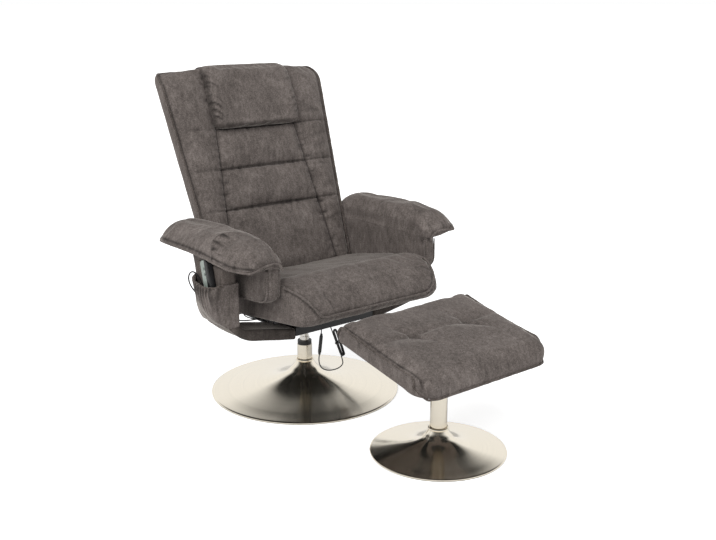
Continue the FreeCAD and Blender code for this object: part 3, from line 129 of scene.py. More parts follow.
HEADREST_HALF_W = 156.0
HEADREST_REAR = 41.0
HEADREST_FOOT = 487.0
HEADREST_RIM = 686.5
HEADREST_LAP = 4.0
HEADREST_FRONT = (
    (66.0, 484.0, -0.5, 0.9), (86.0, 502.0, -1.0, 0.3), (90.0, 590.0, -1.0, 0.0),
    (80.0, 658.0, -1.0, -0.2), (52.0, 690.0, -0.6, -0.5), (24.0, 697.0, -0.1, -0.4), (4.0, 691.0, 0.3, -0.2),
)

ARM_INNER_X = 272.0
ARM_OUTER_X = 321.0
ARM_FRONT_Y = -263.0
ARM_REAR_Y = 114.0
ARM_FRONT_Z = 402.0
ARM_REAR_Z = 372.0
ARM_SPLIT_Z = 508.0
ARM_CORNER_R = 32.0
ARM_REAR_LEAN = 38.0
ROLL_TOP_Z = 589.0
ROLL_LIP_X = 421.0
ROLL_LIP_Z = 531.0
ROLL_LIP_T = 12.0
ROLL_CREST_X = 337.0
ROLL_INNER_X = 275.0
ROLL_UNDER_X = 330.0
ROLL_REAR_Y = 178.0
ROLL_FRONT_Y = -276.0
ROLL_SHARES = (
    (0.0, 0.55, 0.66, 0.35), (0.035, 0.8, 0.88, 0.12), (0.12, 0.94, 0.98, 0.0), (0.45, 1.0, 1.0, 0.0),
    (0.6, 1.0, 1.0, 0.12), (0.72, 1.0, 0.99, 0.42), (0.85, 0.92, 0.93, 0.82), (0.945, 0.7, 0.78, 0.96),
    (1.0, 0.34, 0.56, 1.0),
)
ROLL_LIP_DROP = 20.0
ROLL_LEFT_SHARE = 0.2
# the piping across the roll's front: how far in from the lip, and height
ROLL_SMILE = (
    (366.0, 511.5), (350.0, 516.5), (333.0, 521.0), (317.0, 523.0), (304.0, 522.0), (293.0, 517.0),
    (284.0, 508.0), (280.0, 498.0),
)

POCKET_LEVELS = (
    (325.0, 5.0, -132.0), (350.0, 22.0, -134.0), (375.0, 31.0, -124.0),
    (402.0, 34.0, -106.0), (432.0, 35.0, -88.0), (461.0, 34.0, -72.0),
)
POCKET_FLAP_X = 352.0
POCKET_CORNER = 11.0
POCKET_WALL = 2.5

STOOL_HALF_W = 235.0
STOOL_HALF_L = 176.0
STOOL_TILT = 10.7
STOOL_MID = (-632.0, 303.0)
STOOL_BOX_T = 47.0
STOOL_CROWN = 9.0
STOOL_REAR_RISE = 8.0
STOOL_NOSE = 40.0
STOOL_SIDE_DROP = 10.0
STOOL_CORNER_R = 46.0
STOOL_FRONT_SAG = 13.0
TUFT_X = 100.0
TUFT_Y = 28.0
# creases that run out from each tuft: direction in degrees, reach and depth
STOOL_CREASES = ((0.0, 66.0, 5.0), (118.0, 58.0, 4.6), (-62.0, 66.0, 4.6), (180.0, 60.0, 4.4))

LEAD_D = 3.4
HANDSET_LEAD_D = 4.0
LEAD_DROP = [(-43.0, -145.0, 250.0), (-43.0, -145.0, 231.3)]
LEAD_LOOP = [
    (-52.0, -145.0, 166.0), (-54.4, -145.0, 148.5), (-51.5, -145.0, 132.0), (-41.5, -145.0, 118.0),
    (-26.5, -145.0, 108.5), (-9.0, -145.0, 103.8), (9.0, -145.0, 102.5), (25.5, -145.0, 104.0),
    (38.0, -145.0, 110.3), (42.5, -145.0, 121.4),
]
HANK_PITCH = 3.85
HANK_HALF_W = 7.4
HANK_RUN = 86.0
HANK_FOOT = (41.0, -145.0, 146.0)
HANK_LEAN = 21.0
HANK_HEAD = 27.5
LEAD_IN_POCKET = [
    (13.2, -138.2, 372.4), (15.2, -141.1, 360.8), (13.0, -134.8, 350.2), (8.2, -123.2, 345.6),
    (7.2, -110.5, 349.5), (6.8, -103.5, 360.0), (6.1, -99.5, 378.0), (7.0, -93.5, 402.0),
    (8.0, -82.5, 428.0), (9.0, -67.5, 450.0), (10.5, -51.5, 464.0), (12.5, -34.0, 469.5),
    (14.0, -17.0, 462.5), (13.5, -6.5, 446.5), (9.0, -3.0, 427.0), (-1.0, -4.0, 407.5),
]
LEAD_UNDER_SEAT = [
    (-386.0, -7.0, 386.0), (-364.0, -9.0, 359.0), (-338.0, -8.0, 331.0), (-306.0, -3.0, 304.0),
    (-268.0, 3.0, 285.0), (-228.0, 8.0, 273.0), (-188.0, 10.0, 266.0), (-150.0, 10.0, 266.0),
]
MOTOR_LEAD = [
    (-232.0, -6.0, 304.6), (-231.0, -5.0, 296.0), (-222.0, -3.0, 287.0), (-206.0, -2.0, 279.0),
    (-189.0, -1.0, 272.0), (-170.0, 0.0, 267.0), (-150.0, 0.0, 266.0),
]

HANDSET_LEAN = 14.0
HANDSET_FOOT = (-138.0, 373.0)
HANDSET_SPLIT = -4.5

PIPING_R = 3.2


# Camera

def make_camera():
    data = bpy.data.cameras.new("camera")
    data.lens = CAMERA_LENS
    camera = bpy.data.objects.new("camera", data)
    camera.location = CAMERA_AT
    camera.rotation_euler = [math.radians(turn) for turn in CAMERA_TURN]
    bpy.context.scene.collection.objects.link(camera)
    bpy.context.scene.camera = camera


make_camera()


# Materials

class Nodes:
    """A node tree of a material or the world, with short ways to add and link nodes."""

    def __init__(self, owner, shader="Principled BSDF"):
        owner.use_nodes = True
        self.owner = owner
        self.tree = owner.node_tree
        self.shader = self.tree.nodes[shader]

    def fill(self, socket, value):
        if isinstance(value, bpy.types.NodeSocket):
            self.tree.links.new(value, socket)
        else:
            socket.default_value = value

    def add(self, kind, **values):
        node = self.tree.nodes.new("ShaderNode" + kind)
        for key, value in values.items():
            if key in node.inputs:
                self.fill(node.inputs[key], value)
            else:
                setattr(node, key, value)
        return node

    def set(self, **values):
        for key, value in values.items():
            self.fill(self.shader.inputs[key.replace("_", " ")], value)

    def place(self, scale=(1.0, 1.0, 1.0)):
        return self.add("Mapping", Scale=scale, Vector=self.where()).outputs["Vector"]

    def where(self, kind="Object"):
        return self.add("TexCoord").outputs[kind]

    def noise(self, where, scale, detail=3.0, rough=0.55):
        return self.add("TexNoise", Scale=scale, Detail=detail, Roughness=rough, Vector=where).outputs["Fac"]

    def ramp(self, value, stops):
        node = self.add("ValToRGB", Fac=value)
        elements = node.color_ramp.elements
        while len(elements) < len(stops):
            elements.new(1.0)
        for element, (at, colour) in zip(elements, stops):
            element.position = at
            element.color = (*colour, 1.0)
        return node.outputs["Color"]

    def maths(self, how, a, b):
        node = self.add("Math", operation=how)
        self.fill(node.inputs[0], a)
        self.fill(node.inputs[1], b)
        return node.outputs[0]

    def times(self, a, b):
        return self.maths("MULTIPLY", a, b)

    def blend(self, first, *others):
        """Sum of values, each times its share."""
        whole = self.times(*first)
        for other in others:
            whole = self.maths("ADD", whole, self.times(*other))
        return whole

    def mix(self, how, share, a, b):
        node = self.add("Mix", data_type="RGBA", blend_type=how, Factor=share)
        colours = [socket for socket in node.inputs if socket.type == "RGBA"]
        for socket, value in zip(colours, (a, b)):
            self.fill(socket, (*value, 1.0) if isinstance(value, tuple) else value)
        return [socket for socket in node.outputs if socket.type == "RGBA"][0]

    def bump(self, height, strength, depth):
        self.set(Normal=self.add("Bump", Strength=strength, Distance=depth, Height=height).outputs["Normal"])


def material(name):
    return Nodes(bpy.data.materials.new(name))


def cloth(name, dark, middle, light, sheen):
    """Chenille: a soft nap, yarn in short strokes and mottled pile; the mesh's seam attribute paints shade
    into the colour, and painted light where it is below zero.
    """
    m = material(name)
    where = m.place()
    nap = m.noise(where, 13.0, 4.0, 0.6)
    strokes = m.noise(m.place((1.0, 1.0, 0.3)), 95.0, 3.0, 0.6)
    mottle = m.noise(where, 250.0, 4.0, 0.75)
    yarn = m.noise(where, 560.0, 2.0, 0.6)
    speck = m.blend((mottle, 0.7), (yarn, 0.3))
    value = m.blend((nap, 0.2), (strokes, 0.22), (speck, 0.58))
    colour = m.ramp(value, ((0.38, dark), (0.5, middle), (0.64, light)))
    # painted shade from the mesh's seam attribute, multiplied into the colour; below zero it is painted light
    closed = m.add("Attribute", attribute_name="seam")
    painted_shade = m.maths("SUBTRACT", 1.0, m.times(closed.outputs["Fac"], 0.75))
    m.set(Base_Color=m.mix("MULTIPLY", 1.0, colour, painted_shade), Roughness=0.92, Specular_IOR_Level=0.2)
    m.set(Sheen_Weight=sheen, Sheen_Roughness=0.32, Sheen_Tint=(0.92, 0.86, 0.8, 1.0))
    m.bump(m.blend((mottle, 0.5), (yarn, 0.5)), 0.55, 0.0011)
    return m.owner


def brushed(name, colour, rough, anisotropy=0.8):
    """Metal turned on a lathe: fine rings about its axis."""
    m = material(name)
    where = m.where()
    parts = m.add("SeparateXYZ", Vector=where).outputs
    squares = m.maths("ADD", m.times(parts["X"], parts["X"]), m.times(parts["Y"], parts["Y"]))
    line = m.add("CombineXYZ", X=m.times(m.maths("SQRT", squares, 0.0), 900.0), Y=m.times(parts["Z"], 900.0))
    rings = m.noise(line.outputs["Vector"], 1.0, 3.0, 0.6)
    cloud = m.noise(where, 7.0, 3.0, 0.5)
    worn = m.blend((rings, 0.08), (cloud, 0.07))
    tangent = m.add("Tangent", direction_type="RADIAL", axis="Z")
    m.set(
        Base_Color=m.ramp(rings, ((0.3, tuple(c * 0.9 for c in colour)), (0.7, colour))),
        Roughness=m.maths("ADD", worn, rough - 0.075), Metallic=1.0, Anisotropic=anisotropy,
        Anisotropic_Rotation=0.25, Tangent=tangent.outputs["Tangent"])
    m.bump(rings, 0.06, 0.0002)
    return m.owner


def moulded(name, colour, rough, grain=1400.0, strength=0.12, metallic=0.0):
    m = material(name)
    where = m.place()
    fine = m.noise(where, grain, 2.0)
    broad = m.noise(where, 22.0, 3.0)
    m.set(
        Base_Color=m.ramp(broad, ((0.35, tuple(c * 0.78 for c in colour)), (0.65, colour))),
        Roughness=m.maths("ADD", m.times(broad, 0.14), rough - 0.07), Metallic=metallic)
    m.bump(fine, strength, 0.0003)
    return m.owner


def wooden(name, dark, light, along):
    m = material(name)
    grain = m.noise(m.place(along), 60.0, 5.0, 0.6)
    m.set(Base_Color=m.ramp(grain, ((0.3, dark), (0.7, light))), Roughness=0.7)
    m.bump(grain, 0.25, 0.0006)
    return m.owner


def woven(name, dark, light, scale):
    m = material(name)
    where = m.place()
    threads = m.add("TexWave", Scale=scale, Distortion=1.5, Vector=where).outputs["Fac"]
    value = m.blend((threads, 0.5), (m.noise(where, scale * 1.7, 3.0), 0.5))
    m.set(Base_Color=m.ramp(value, ((0.25, dark), (0.75, light))), Roughness=0.85)
    m.bump(value, 0.4, 0.0006)
    return m.owner


CLOTH = cloth("upholstery", (0.061, 0.052, 0.047), (0.126, 0.107, 0.098), (0.24, 0.209, 0.193), 0.5)
BAND_CLOTH = cloth("band_cloth", (0.055, 0.046, 0.041), (0.113, 0.095, 0.085), (0.205, 0.176, 0.16), 0.45)
# the upholstery's colours darkened to about seven tenths, painted shade along the back's, stool's and
# pocket's welts
PIPING_PAINTED_SHADE = cloth("piping", (0.038, 0.031, 0.027), (0.088, 0.073, 0.065), (0.18, 0.153, 0.139), 0.6)
SLOTS = {
    "upholstery": CLOTH,
    "band_cloth": BAND_CLOTH,
    "champagne_metal": brushed("champagne_metal", (0.92, 0.85, 0.72), 0.14),
    "bright_steel": brushed("bright_steel", (0.80, 0.77, 0.72), 0.14, anisotropy=0.3),
    "zinc_steel": moulded("zinc_steel", (0.55, 0.56, 0.57), 0.35, 300.0, 0.1, 1.0),
    "black_steel": moulded("black_steel", (0.012, 0.012, 0.013), 0.42, 700.0, 0.15),
    "black_plastic": moulded("black_plastic", (0.014, 0.014, 0.015), 0.4),
    "silver_plastic": moulded("silver_plastic", (0.27, 0.31, 0.28), 0.34, 1600.0, 0.05, 0.2),
    "key_plastic": moulded("key_plastic", (0.17, 0.19, 0.175), 0.5),
    "floor_pad": moulded("floor_pad", (0.02, 0.02, 0.02), 0.85, 500.0, 0.3),
    "underside_cloth": woven("underside_cloth", (0.006, 0.006, 0.006), (0.02, 0.02, 0.021), 380.0),
    "webbing": woven("webbing", (0.02, 0.018, 0.016), (0.09, 0.08, 0.07), 260.0),
    "plywood": wooden("plywood", (0.30, 0.21, 0.13), (0.52, 0.40, 0.27), (1.0, 0.12, 1.0)),
    "timber": wooden("timber", (0.34, 0.24, 0.14), (0.56, 0.43, 0.28), (0.15, 1.0, 1.0)),
    "lead_sheath": moulded("lead_sheath", (0.010, 0.010, 0.011), 0.38, 900.0, 0.05),
}


def handset_plate():
    """Silver plate on the rear half of the handset's face, glossy black on the front half."""
    m = material("handset_plate")
    where = m.where()
    parts = m.add("SeparateXYZ", Vector=where).outputs
    lean = math.radians(HANDSET_LEAN)
    y = m.times(m.maths("SUBTRACT", parts["Y"], HANDSET_FOOT[0] * MM), math.cos(lean))
    z = m.times(m.maths("SUBTRACT", parts["Z"], HANDSET_FOOT[1] * MM), math.sin(lean))
    rear = m.maths("GREATER_THAN", m.maths("SUBTRACT", y, z), HANDSET_SPLIT * MM)
    cloud = m.noise(where, 30.0, 3.0)
    silver = m.ramp(cloud, ((0.3, (0.24, 0.28, 0.25)), (0.7, (0.31, 0.35, 0.32))))
    m.set(
        Base_Color=m.mix("MIX", rear, (0.012, 0.012, 0.012), silver),
        Roughness=m.maths("ADD", m.times(cloud, 0.1), 0.22))
    m.bump(m.noise(where, 1500.0, 2.0), 0.05, 0.0002)
    return m.owner


def dress_frame():
    """Gives every node of the frame its material."""
    for part in frame["record"]["subparts"]:
        plate = part["node"] == "handset_face"
        materials = nodes[part["node"]].data.materials
        materials.clear()
        materials.append(handset_plate() if plate else SLOTS[part["material_slot"]])


dress_frame()


# Meshes

def add_object(name, data, body):
    made = bpy.data.objects.new(name, data)
    bpy.context.scene.collection.objects.link(made)
    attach(made, body)
    return made


def mesh_object(name, points, faces, body, slot, materials=None):
    mesh = bpy.data.meshes.new(name)
    mesh.from_pydata([tuple(c * MM for c in p) for p in points], [], faces)
    for material in materials or [SLOTS[slot]]:
        mesh.materials.append(material)
    for face in mesh.polygons:
        face.use_smooth = True
    mesh.validate()
    mesh.update()
    return add_object(name, mesh, body)


# how far the rings that close an end shrink towards its middle
CAP_SHARE = 0.93
# how far the middle of a rounded corner lies in from its edges, for a radius of one
CORNER_SHARE = 1 - math.sqrt(0.5)


def skin(rows, closed=False, bulge=None, rings=6):
    """Quads over rows of points; with a bulge, shrinking rings close the first and the last row."""
    rows = [np.asarray(row, float) for row in rows]
    across = len(rows[0])
    points = np.concatenate(rows).tolist()
    faces = []
    end = (len(rows) - 1) * across
    for start in range(0, end, across):
        for c in range(across if closed else across - 1):
            d = (c + 1) % across
            faces.append((start + c, start + d, start + across + d, start + across + c))
    if bulge is None:
        return points, faces
    for base, row, other, turn in ((0, rows[0], rows[1], 1), (end, rows[-1], rows[-2], -1)):
        way = row.mean(0) - other.mean(0)
        way = way / max(np.linalg.norm(way), 1e-6)
        middle = (row.min(0) + row.max(0)) / 2
        last = list(range(base, base + across))
        for k in range(1, rings + 1):
            share = k / rings * CAP_SHARE
            ring = middle + (row - middle) * (1 - share) + way * bulge * (1 - (1 - share) ** 2)
            new = list(range(len(points), len(points) + across))
            points += ring.tolist()
            for c in range(across):
                d = (c + 1) % across
                faces.append((last[c], new[c], new[d], last[d])[::turn])
            last = new
        half = across // 2
        for c in range(half - 1):
            faces.append((last[c], last[c + 1], last[across - 2 - c], last[across - 1 - c])[::-turn])
        if across % 2:
            faces.append(tuple(last[half - 1:half + 2])[::-turn])
    return points, faces


def cover(
        name, rows, bulge, rings=6, body="chair", flip=False, slot="upholstery", materials=None, closed=True):
    """Cover over rows of points; flip turns its faces the other way out."""
    points, faces = skin(rows, closed, bulge, rings)
    return mesh_object(name, points, [quad[::-1] for quad in faces] if flip else faces, body, slot, materials)


def clamp(value, low=0.0):
    return min(max(value, low), 1.0)


def mirrored(line):
    """The line across the middle plane, run the other way."""
    return [(-p[0], *p[1:]) for p in line[::-1]]


def turned_by(a, b, degrees):
    """A flat point turned about the origin."""
    angle = math.radians(degrees)
    return a * math.cos(angle) - b * math.sin(angle), a * math.sin(angle) + b * math.cos(angle)


def crowd_ends(share):
    """Draws evenly spaced shares towards 0 and 1."""
    return 0.42 * share + 0.58 * share * share * (3 - 2 * share)


def arc_points(a, b, c, count, crowd=lambda share: share):
    """Points on the arc through three flat points, both ends included."""
    (ax, ay), (bx, by), (cx, cy) = a, b, c
    shares = [crowd(i / count) for i in range(count + 1)]
    d = 2 * (ax * (by - cy) + bx * (cy - ay) + cx * (ay - by))
    if abs(d) < 1e-6:
        return [(ax + (cx - ax) * share, ay + (cy - ay) * share) for share in shares]
    a2, b2, c2 = ax * ax + ay * ay, bx * bx + by * by, cx * cx + cy * cy
    ux = (a2 * (by - cy) + b2 * (cy - ay) + c2 * (ay - by)) / d
    uy = (a2 * (cx - bx) + b2 * (ax - cx) + c2 * (bx - ax)) / d
    radius = math.hypot(ax - ux, ay - uy)
    start = math.atan2(ay - uy, ax - ux)
    middle = (math.atan2(by - uy, bx - ux) - start) % math.tau
    end = (math.atan2(cy - uy, cx - ux) - start) % math.tau
    if middle > end:
        end -= math.tau
    angles = [start + end * share for share in shares]
    return [(ux + radius * math.cos(angle), uy + radius * math.sin(angle)) for angle in angles]


def line_points(a, b, count):
    return [tuple(a[k] + (b[k] - a[k]) * i / count for k in range(len(a))) for i in range(count + 1)]


def chain(*runs):
    """Runs that share their ends, as one line without doubled points."""
    whole = list(runs[0])
    for run in runs[1:]:
        whole += run[1:]
    return whole


def smooth_path(points, count):
    """Rounded line through the points, evenly spaced."""
    points = np.asarray(points, float)
    padded = np.vstack([2 * points[0] - points[1], points, 2 * points[-1] - points[-2]])
    dense = []
    for i in range(1, len(padded) - 2):
        p0, p1, p2, p3 = padded[i - 1:i + 3]
        for t in np.linspace(0, 1, 24, endpoint=False):
            dense.append(0.5 * (
                2 * p1 + (p2 - p0) * t + (2 * p0 - 5 * p1 + 4 * p2 - p3) * t ** 2
                + (3 * p1 - p0 - 3 * p2 + p3) * t ** 3))
    dense.append(points[-1])
    dense = np.array(dense)
    reach = np.concatenate([[0], np.cumsum(np.linalg.norm(np.diff(dense, axis=0), axis=1))])
    at = np.linspace(0, reach[-1], count)
    return np.stack([np.interp(at, reach, dense[:, k]) for k in range(points.shape[1])], 1)


def tube(points, radius, sides=10, wobble=0.0):
    """Closed tube along a line of points."""
    points = np.asarray(points, float)
    ways = np.gradient(points, axis=0)
    ways /= np.linalg.norm(ways, axis=1)[:, None]
    side = np.cross(ways[0], (0.13, 0.37, 0.92))
    rows = []
    for i, (at, way) in enumerate(zip(points, ways)):
        side = side - way * side.dot(way)
        side /= np.linalg.norm(side)
        up = np.cross(way, side)
        size = radius * (1 + wobble * noise.noise(Vector(at) * 0.06))
        turn = np.linspace(0, math.tau, sides, endpoint=False)
        rows.append(at + size * (np.cos(turn)[:, None] * side + np.sin(turn)[:, None] * up))
    return skin(rows, True, 0.0, 2)


def piping(name, lines, material=CLOTH, body="chair", radius=PIPING_R, wobble=0.25, slot="upholstery"):
    """Welt along one or more lines of points, as one mesh."""
    points, faces = [], []
    for line in lines:
        more, quads = tube(line, radius, wobble=wobble)
        base = len(points)
        points += more
        faces += [tuple(base + k for k in quad) for quad in quads]
    mesh_object(name, points, faces, body, slot, [material])


def fold(p, size, stretch=(1.0, 1.0, 1.0), seed=0.0):
    """Smooth noise from about -1 to 1 at a place in millimetres."""
    place = Vector([v * s for v, s in zip(p, stretch)])
    return noise.noise(place / size + Vector((seed, seed, 0)))


def shift_and_paint_shade(made, how):
    """Moves each point along its normal; how(point) gives the way, and how much shade is painted into the
    cloth's colour there, painted light where that is below zero.
    """
    mesh = made.data
    normals = [Vector(v.normal) for v in mesh.vertices]
    seam = mesh.attributes.new("seam", "FLOAT", "POINT")
    for index, (vertex, normal) in enumerate(zip(mesh.vertices, normals)):
        move, closed = how(vertex.co / MM)
        vertex.co += normal * move * MM
        # the seam attribute holds painted shade for the cloth's colour, and painted light below zero
        seam.data[index].value = clamp(closed, -0.5)
    mesh.update()


def bell(distance, width):
    return math.exp(-(distance / width) ** 2)


def painted_fold_shade(value):
    """Turns smooth noise into painted shade in narrow folds and painted light on the broad folds between
    them.
    """
    return max(-value - 0.08, 0.0) * 2.6 - max(value, 0.0) * 0.5


COVER_CLOTH = {
    "quality": 6, "mass": 0.25, "tension_stiffness": 12, "compression_stiffness": 12, "shear_stiffness": 6,
    "bending_stiffness": 0.6, "use_pressure": True, "vertex_group_mass": "held", "pin_stiffness": 2.0,
}
COVER_STEPS = 14


def settle(made, cap, pressure, spare, held):
    """Lets the cover fill out as cloth over its padding, at most a cap away from where it was cut."""
    mesh = made.data
    before = np.empty(len(mesh.vertices) * 3)
    mesh.vertices.foreach_get("co", before)
    group = made.vertex_groups.new(name="held")
    for index, vertex in enumerate(mesh.vertices):
        weight = held(vertex.co / MM)
        if weight > 0:
            group.add([index], min(weight, 1.0), "REPLACE")
    body = made.parent
    made.parent = None
    modifier = made.modifiers.new("cover", "CLOTH")
    for key, value in COVER_CLOTH.items():
        setattr(modifier.settings, key, value)
    modifier.settings.uniform_pressure_force = pressure
    modifier.settings.shrink_min = -spare
    modifier.settings.effector_weights.gravity = 0.0
    scene = bpy.context.scene
    for step in range(1, COVER_STEPS + 1):
        scene.frame_set(step)
    after = np.empty(len(before))
    shaped = made.evaluated_get(bpy.context.evaluated_depsgraph_get())
    shaped.data.vertices.foreach_get("co", after)
    made.modifiers.remove(modifier)
    scene.frame_set(1)
    moved = (after - before).reshape(-1, 3)
    moved[~np.isfinite(moved).all(1)] = 0.0
    far = np.linalg.norm(moved, axis=1)
    scale = np.where(far > cap * MM, cap * MM / np.maximum(far, 1e-9), 1.0)
    mesh.vertices.foreach_set("co", (before.reshape(-1, 3) + moved * scale[:, None]).ravel())
    mesh.update()
    made.vertex_groups.clear()
    made.parent = body


def rounder(made):
    modifier = made.modifiers.new("round", "SUBSURF")
    modifier.levels = 1
    modifier.render_levels = 1


# Leads

def lead(name, points, diameter):
    data = bpy.data.curves.new(name, "CURVE")
    data.dimensions = "3D"
    spline = data.splines.new("NURBS")
    spline.points.add(len(points) - 1)
    for point, at in zip(spline.points, points):
        point.co = (*(v * MM for v in at), 1.0)
    spline.order_u = 3
    spline.use_endpoint_u = True
    data.resolution_u = 8
    data.bevel_depth = diameter / 2 * MM
    data.bevel_resolution = 3
    data.use_fill_caps = True
    data.materials.append(SLOTS["lead_sheath"])
    return add_object(name, data, "chair")


def on_hank(x, y, z):
    across, up = turned_by(x, z, HANK_LEAN)
    return HANK_FOOT[0] + across, HANK_FOOT[1] + y, HANK_FOOT[2] + up


def hank_points():
    """Corners that the folded lead goes round, turn by turn, in and out again."""
    left_out, right_out = -HANK_HALF_W, HANK_HALF_W
    left_in, right_in = left_out + HANK_PITCH, right_out - HANK_PITCH
    turns = (
        (left_out, right_out, 1, 0.0), (right_out, left_in, -1, 0.0), (left_in, right_in, 1, 0.0),
        (right_in, left_in, -1, HANK_PITCH), (left_in, right_out, 1, HANK_PITCH),
        (right_out, left_out, -1, HANK_PITCH),
    )
    points = []
    for x_from, x_to, way, y in turns:
        middle = (x_from + x_to) / 2
        radius = (x_to - x_from) / 2
        base = HANK_RUN if way > 0 else 0.0
        for degrees in (157.5, 112.5, 67.5, 22.5):
            angle = math.radians(degrees)
            out = abs(radius) / math.cos(math.radians(22.5))
            x = middle + math.copysign(out, radius) * math.cos(angle)
            points.append(on_hank(x, y, base + way * out * math.sin(angle)))
    points.append(on_hank(left_out, HANK_PITCH, HANK_RUN + HANK_HEAD))
    return points


def band_outer_x(z):
    angle = math.radians(BAND_RISE)
    x = BAND_X + BAND_T / 2
    corner = BAND_LINE_Z + math.tan(angle) * (x - BAND_KNEE_X) - BAND_T / 2 / math.cos(angle)
    level = corner + BAND_OUTER_R * math.tan((math.pi / 2 - angle) / 2)
    drop = max(level - z, 0)
    return x - BAND_OUTER_R + math.sqrt(BAND_OUTER_R ** 2 - drop ** 2)


def make_leads():
    inline = lead("mains_lead", LEAD_DROP + LEAD_LOOP + hank_points(), LEAD_D)
    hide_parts("lead_drop", "lead_loop", "lead_hank")
    route = [(-band_outer_x(z) - reach, y, z) for reach, y, z in LEAD_IN_POCKET] + LEAD_UNDER_SEAT
    handset = lead("handset_cord", route, HANDSET_LEAD_D)
    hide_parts("handset_lead")
    motor = lead("motor_cord", MOTOR_LEAD, LEAD_D)
    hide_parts("seat_motor_lead")


make_leads()


# Trumpet bases

TRUMPET_SIDES = 160


def make_trumpet(name, radius, neck_z, centre_y, node, body="stand"):
    reach = radius - NECK_R
    rise = neck_z - RIM_Z
    flare = smooth_path([(NECK_R + r * reach, RIM_Z + z * rise) for r, z in FLARE_SHARES], 90)
    rim = [
        (radius - 0.4, SKIRT_Z), (radius + 0.2, SKIRT_Z + 1.4), (radius + 0.3, RIM_Z - 2.4),
        (radius - 0.2, RIM_Z - 0.9)]
    inside = [(r - 1.4, max(z - 1.5, SKIRT_Z + 0.4)) for r, z in flare[::-3]]
    turn = np.linspace(0, math.tau, TRUMPET_SIDES, endpoint=False)
    rows = []
    for r, z in inside + rim + [tuple(p) for p in flare[1:]]:
        rows.append(np.stack([r * np.cos(turn), r * np.sin(turn), np.full(TRUMPET_SIDES, z)], 1))
    made = cover(name, rows, None, body=body, flip=True, slot="champagne_metal")
    made.parent = None
    made.location = (0.0, centre_y * MM, 0.0)
    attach(made, body)
    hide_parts(node)


make_trumpet("chair_trumpet", CHAIR_BASE_R, CHAIR_NECK_Z, 0.0, "chair_base_shell")
make_trumpet("stool_trumpet", STOOL_BASE_R, STOOL_NECK_Z, STOOL_Y, "stool_base_shell")


# Seat

def seat_floor(y):
    return SEAT_BASE_Z - math.tan(math.radians(SEAT_TILT)) * y


def ease(share, start):
    """How far an edge has rounded over, from 0 at the start to 1 at the end."""
    if share <= start:
        return 0.0
    return 1 - math.sqrt(max(1 - ((share - start) / (1 - start)) ** 2, 0.0))


def seat_profile(share):
    """Side view of the cover: up the rear, over the top and nose, the lip and back under."""
    roundness = ease(abs(share), 0.78)
    drop = roundness * SEAT_SIDE_DROP
    pull = roundness * SEAT_SIDE_PULL
    lift = roundness * SEAT_SIDE_LIFT
    rear_low = (SEAT_REAR[0], seat_floor(SEAT_REAR[0]) + lift)
    rear_top = (SEAT_REAR[0], SEAT_REAR[1] - drop)
    dish = (SEAT_DISH[0], SEAT_DISH[1] - drop)
    crest = (SEAT_CREST[0], SEAT_CREST[1] - drop)
    nose = (SEAT_NOSE[0] + 0.7 * pull, SEAT_NOSE[1] - 0.7 * drop)
    welt = (SEAT_WELT[0] + pull, SEAT_WELT[1] - 0.25 * drop)
    lip = (SEAT_LIP[0] + pull / 2, SEAT_LIP[1] + lift)
    return chain(
        line_points(rear_low, rear_top, 7), arc_points(rear_top, dish, crest, 34),
        arc_points(crest, nose, welt, 28), line_points(welt, lip, 4), line_points(lip, rear_low, 30))


SEAT_CREST_INDEX = 7 + 34
SEAT_WELT_INDEX = SEAT_CREST_INDEX + 28
SEAT_ACROSS = 104
# ahead of this the seat's sides are free of the arms
SEAT_FREE_Y = -262.0
# where the piping turns the front corner: share across, share of the way down the nose
SEAT_TURN_SHARES = (
    (1.0, 0.0), (1.0, 0.22), (0.985, 0.42), (0.955, 0.6), (0.915, 0.75), (0.86, 0.87), (0.79, 0.96),
    (0.7, 1.0),
)


def spread(count, lean=0.5):
    """Shares from -1 to 1, closer together at both ends."""
    flat = np.linspace(-1, 1, count)
    return (1 - lean) * flat + lean * np.sin(flat * math.pi / 2)


def seat_place(share, y, z):
    """Across the seat; above the welt its front corner is drawn in more on the sitter's right."""
    ahead = clamp((-y - 258.0) / 80.0)
    rise = clamp((z - 340.0) / 50.0)
    near_edge = max(abs(share) - 0.5, 0.0) / 0.5
    draw = ahead * ahead * (3 - 2 * ahead) * rise * near_edge
    x = share * (SEAT_HALF_W - 1.5)
    return (x + draw * (15.0 - 11.0 * share), y, z)


def seat_piping_line():
    corner = []
    for share, down in SEAT_TURN_SHARES:
        line = seat_profile(share)[SEAT_CREST_INDEX:SEAT_WELT_INDEX + 1]
        at = down * (len(line) - 1)
        low = min(int(at), len(line) - 2)
        (y0, z0), (y1, z1) = line[low], line[low + 1]
        corner.append((share, y0 + (y1 - y0) * (at - low), z0 + (z1 - z0) * (at - low)))
    side = [(1.0, y, z) for y, z in seat_profile(1.0)[9:SEAT_CREST_INDEX:3]]
    front = []
    for share in np.linspace(0.62, -0.62, 26):
        y, z = seat_profile(share)[SEAT_WELT_INDEX]
        front.append((share, y, z))
    half = side + corner
    whole = half + front + mirrored(half)
    return smooth_path([seat_place(*p) for p in whole], 520)


def nearest(line):
    """Distance from a point to a line of points, in millimetres."""
    tree = kdtree.KDTree(len(line))
    for index, point in enumerate(line):
        tree.insert(point, index)
    tree.balance()
    return lambda p: tree.find(p)[2]


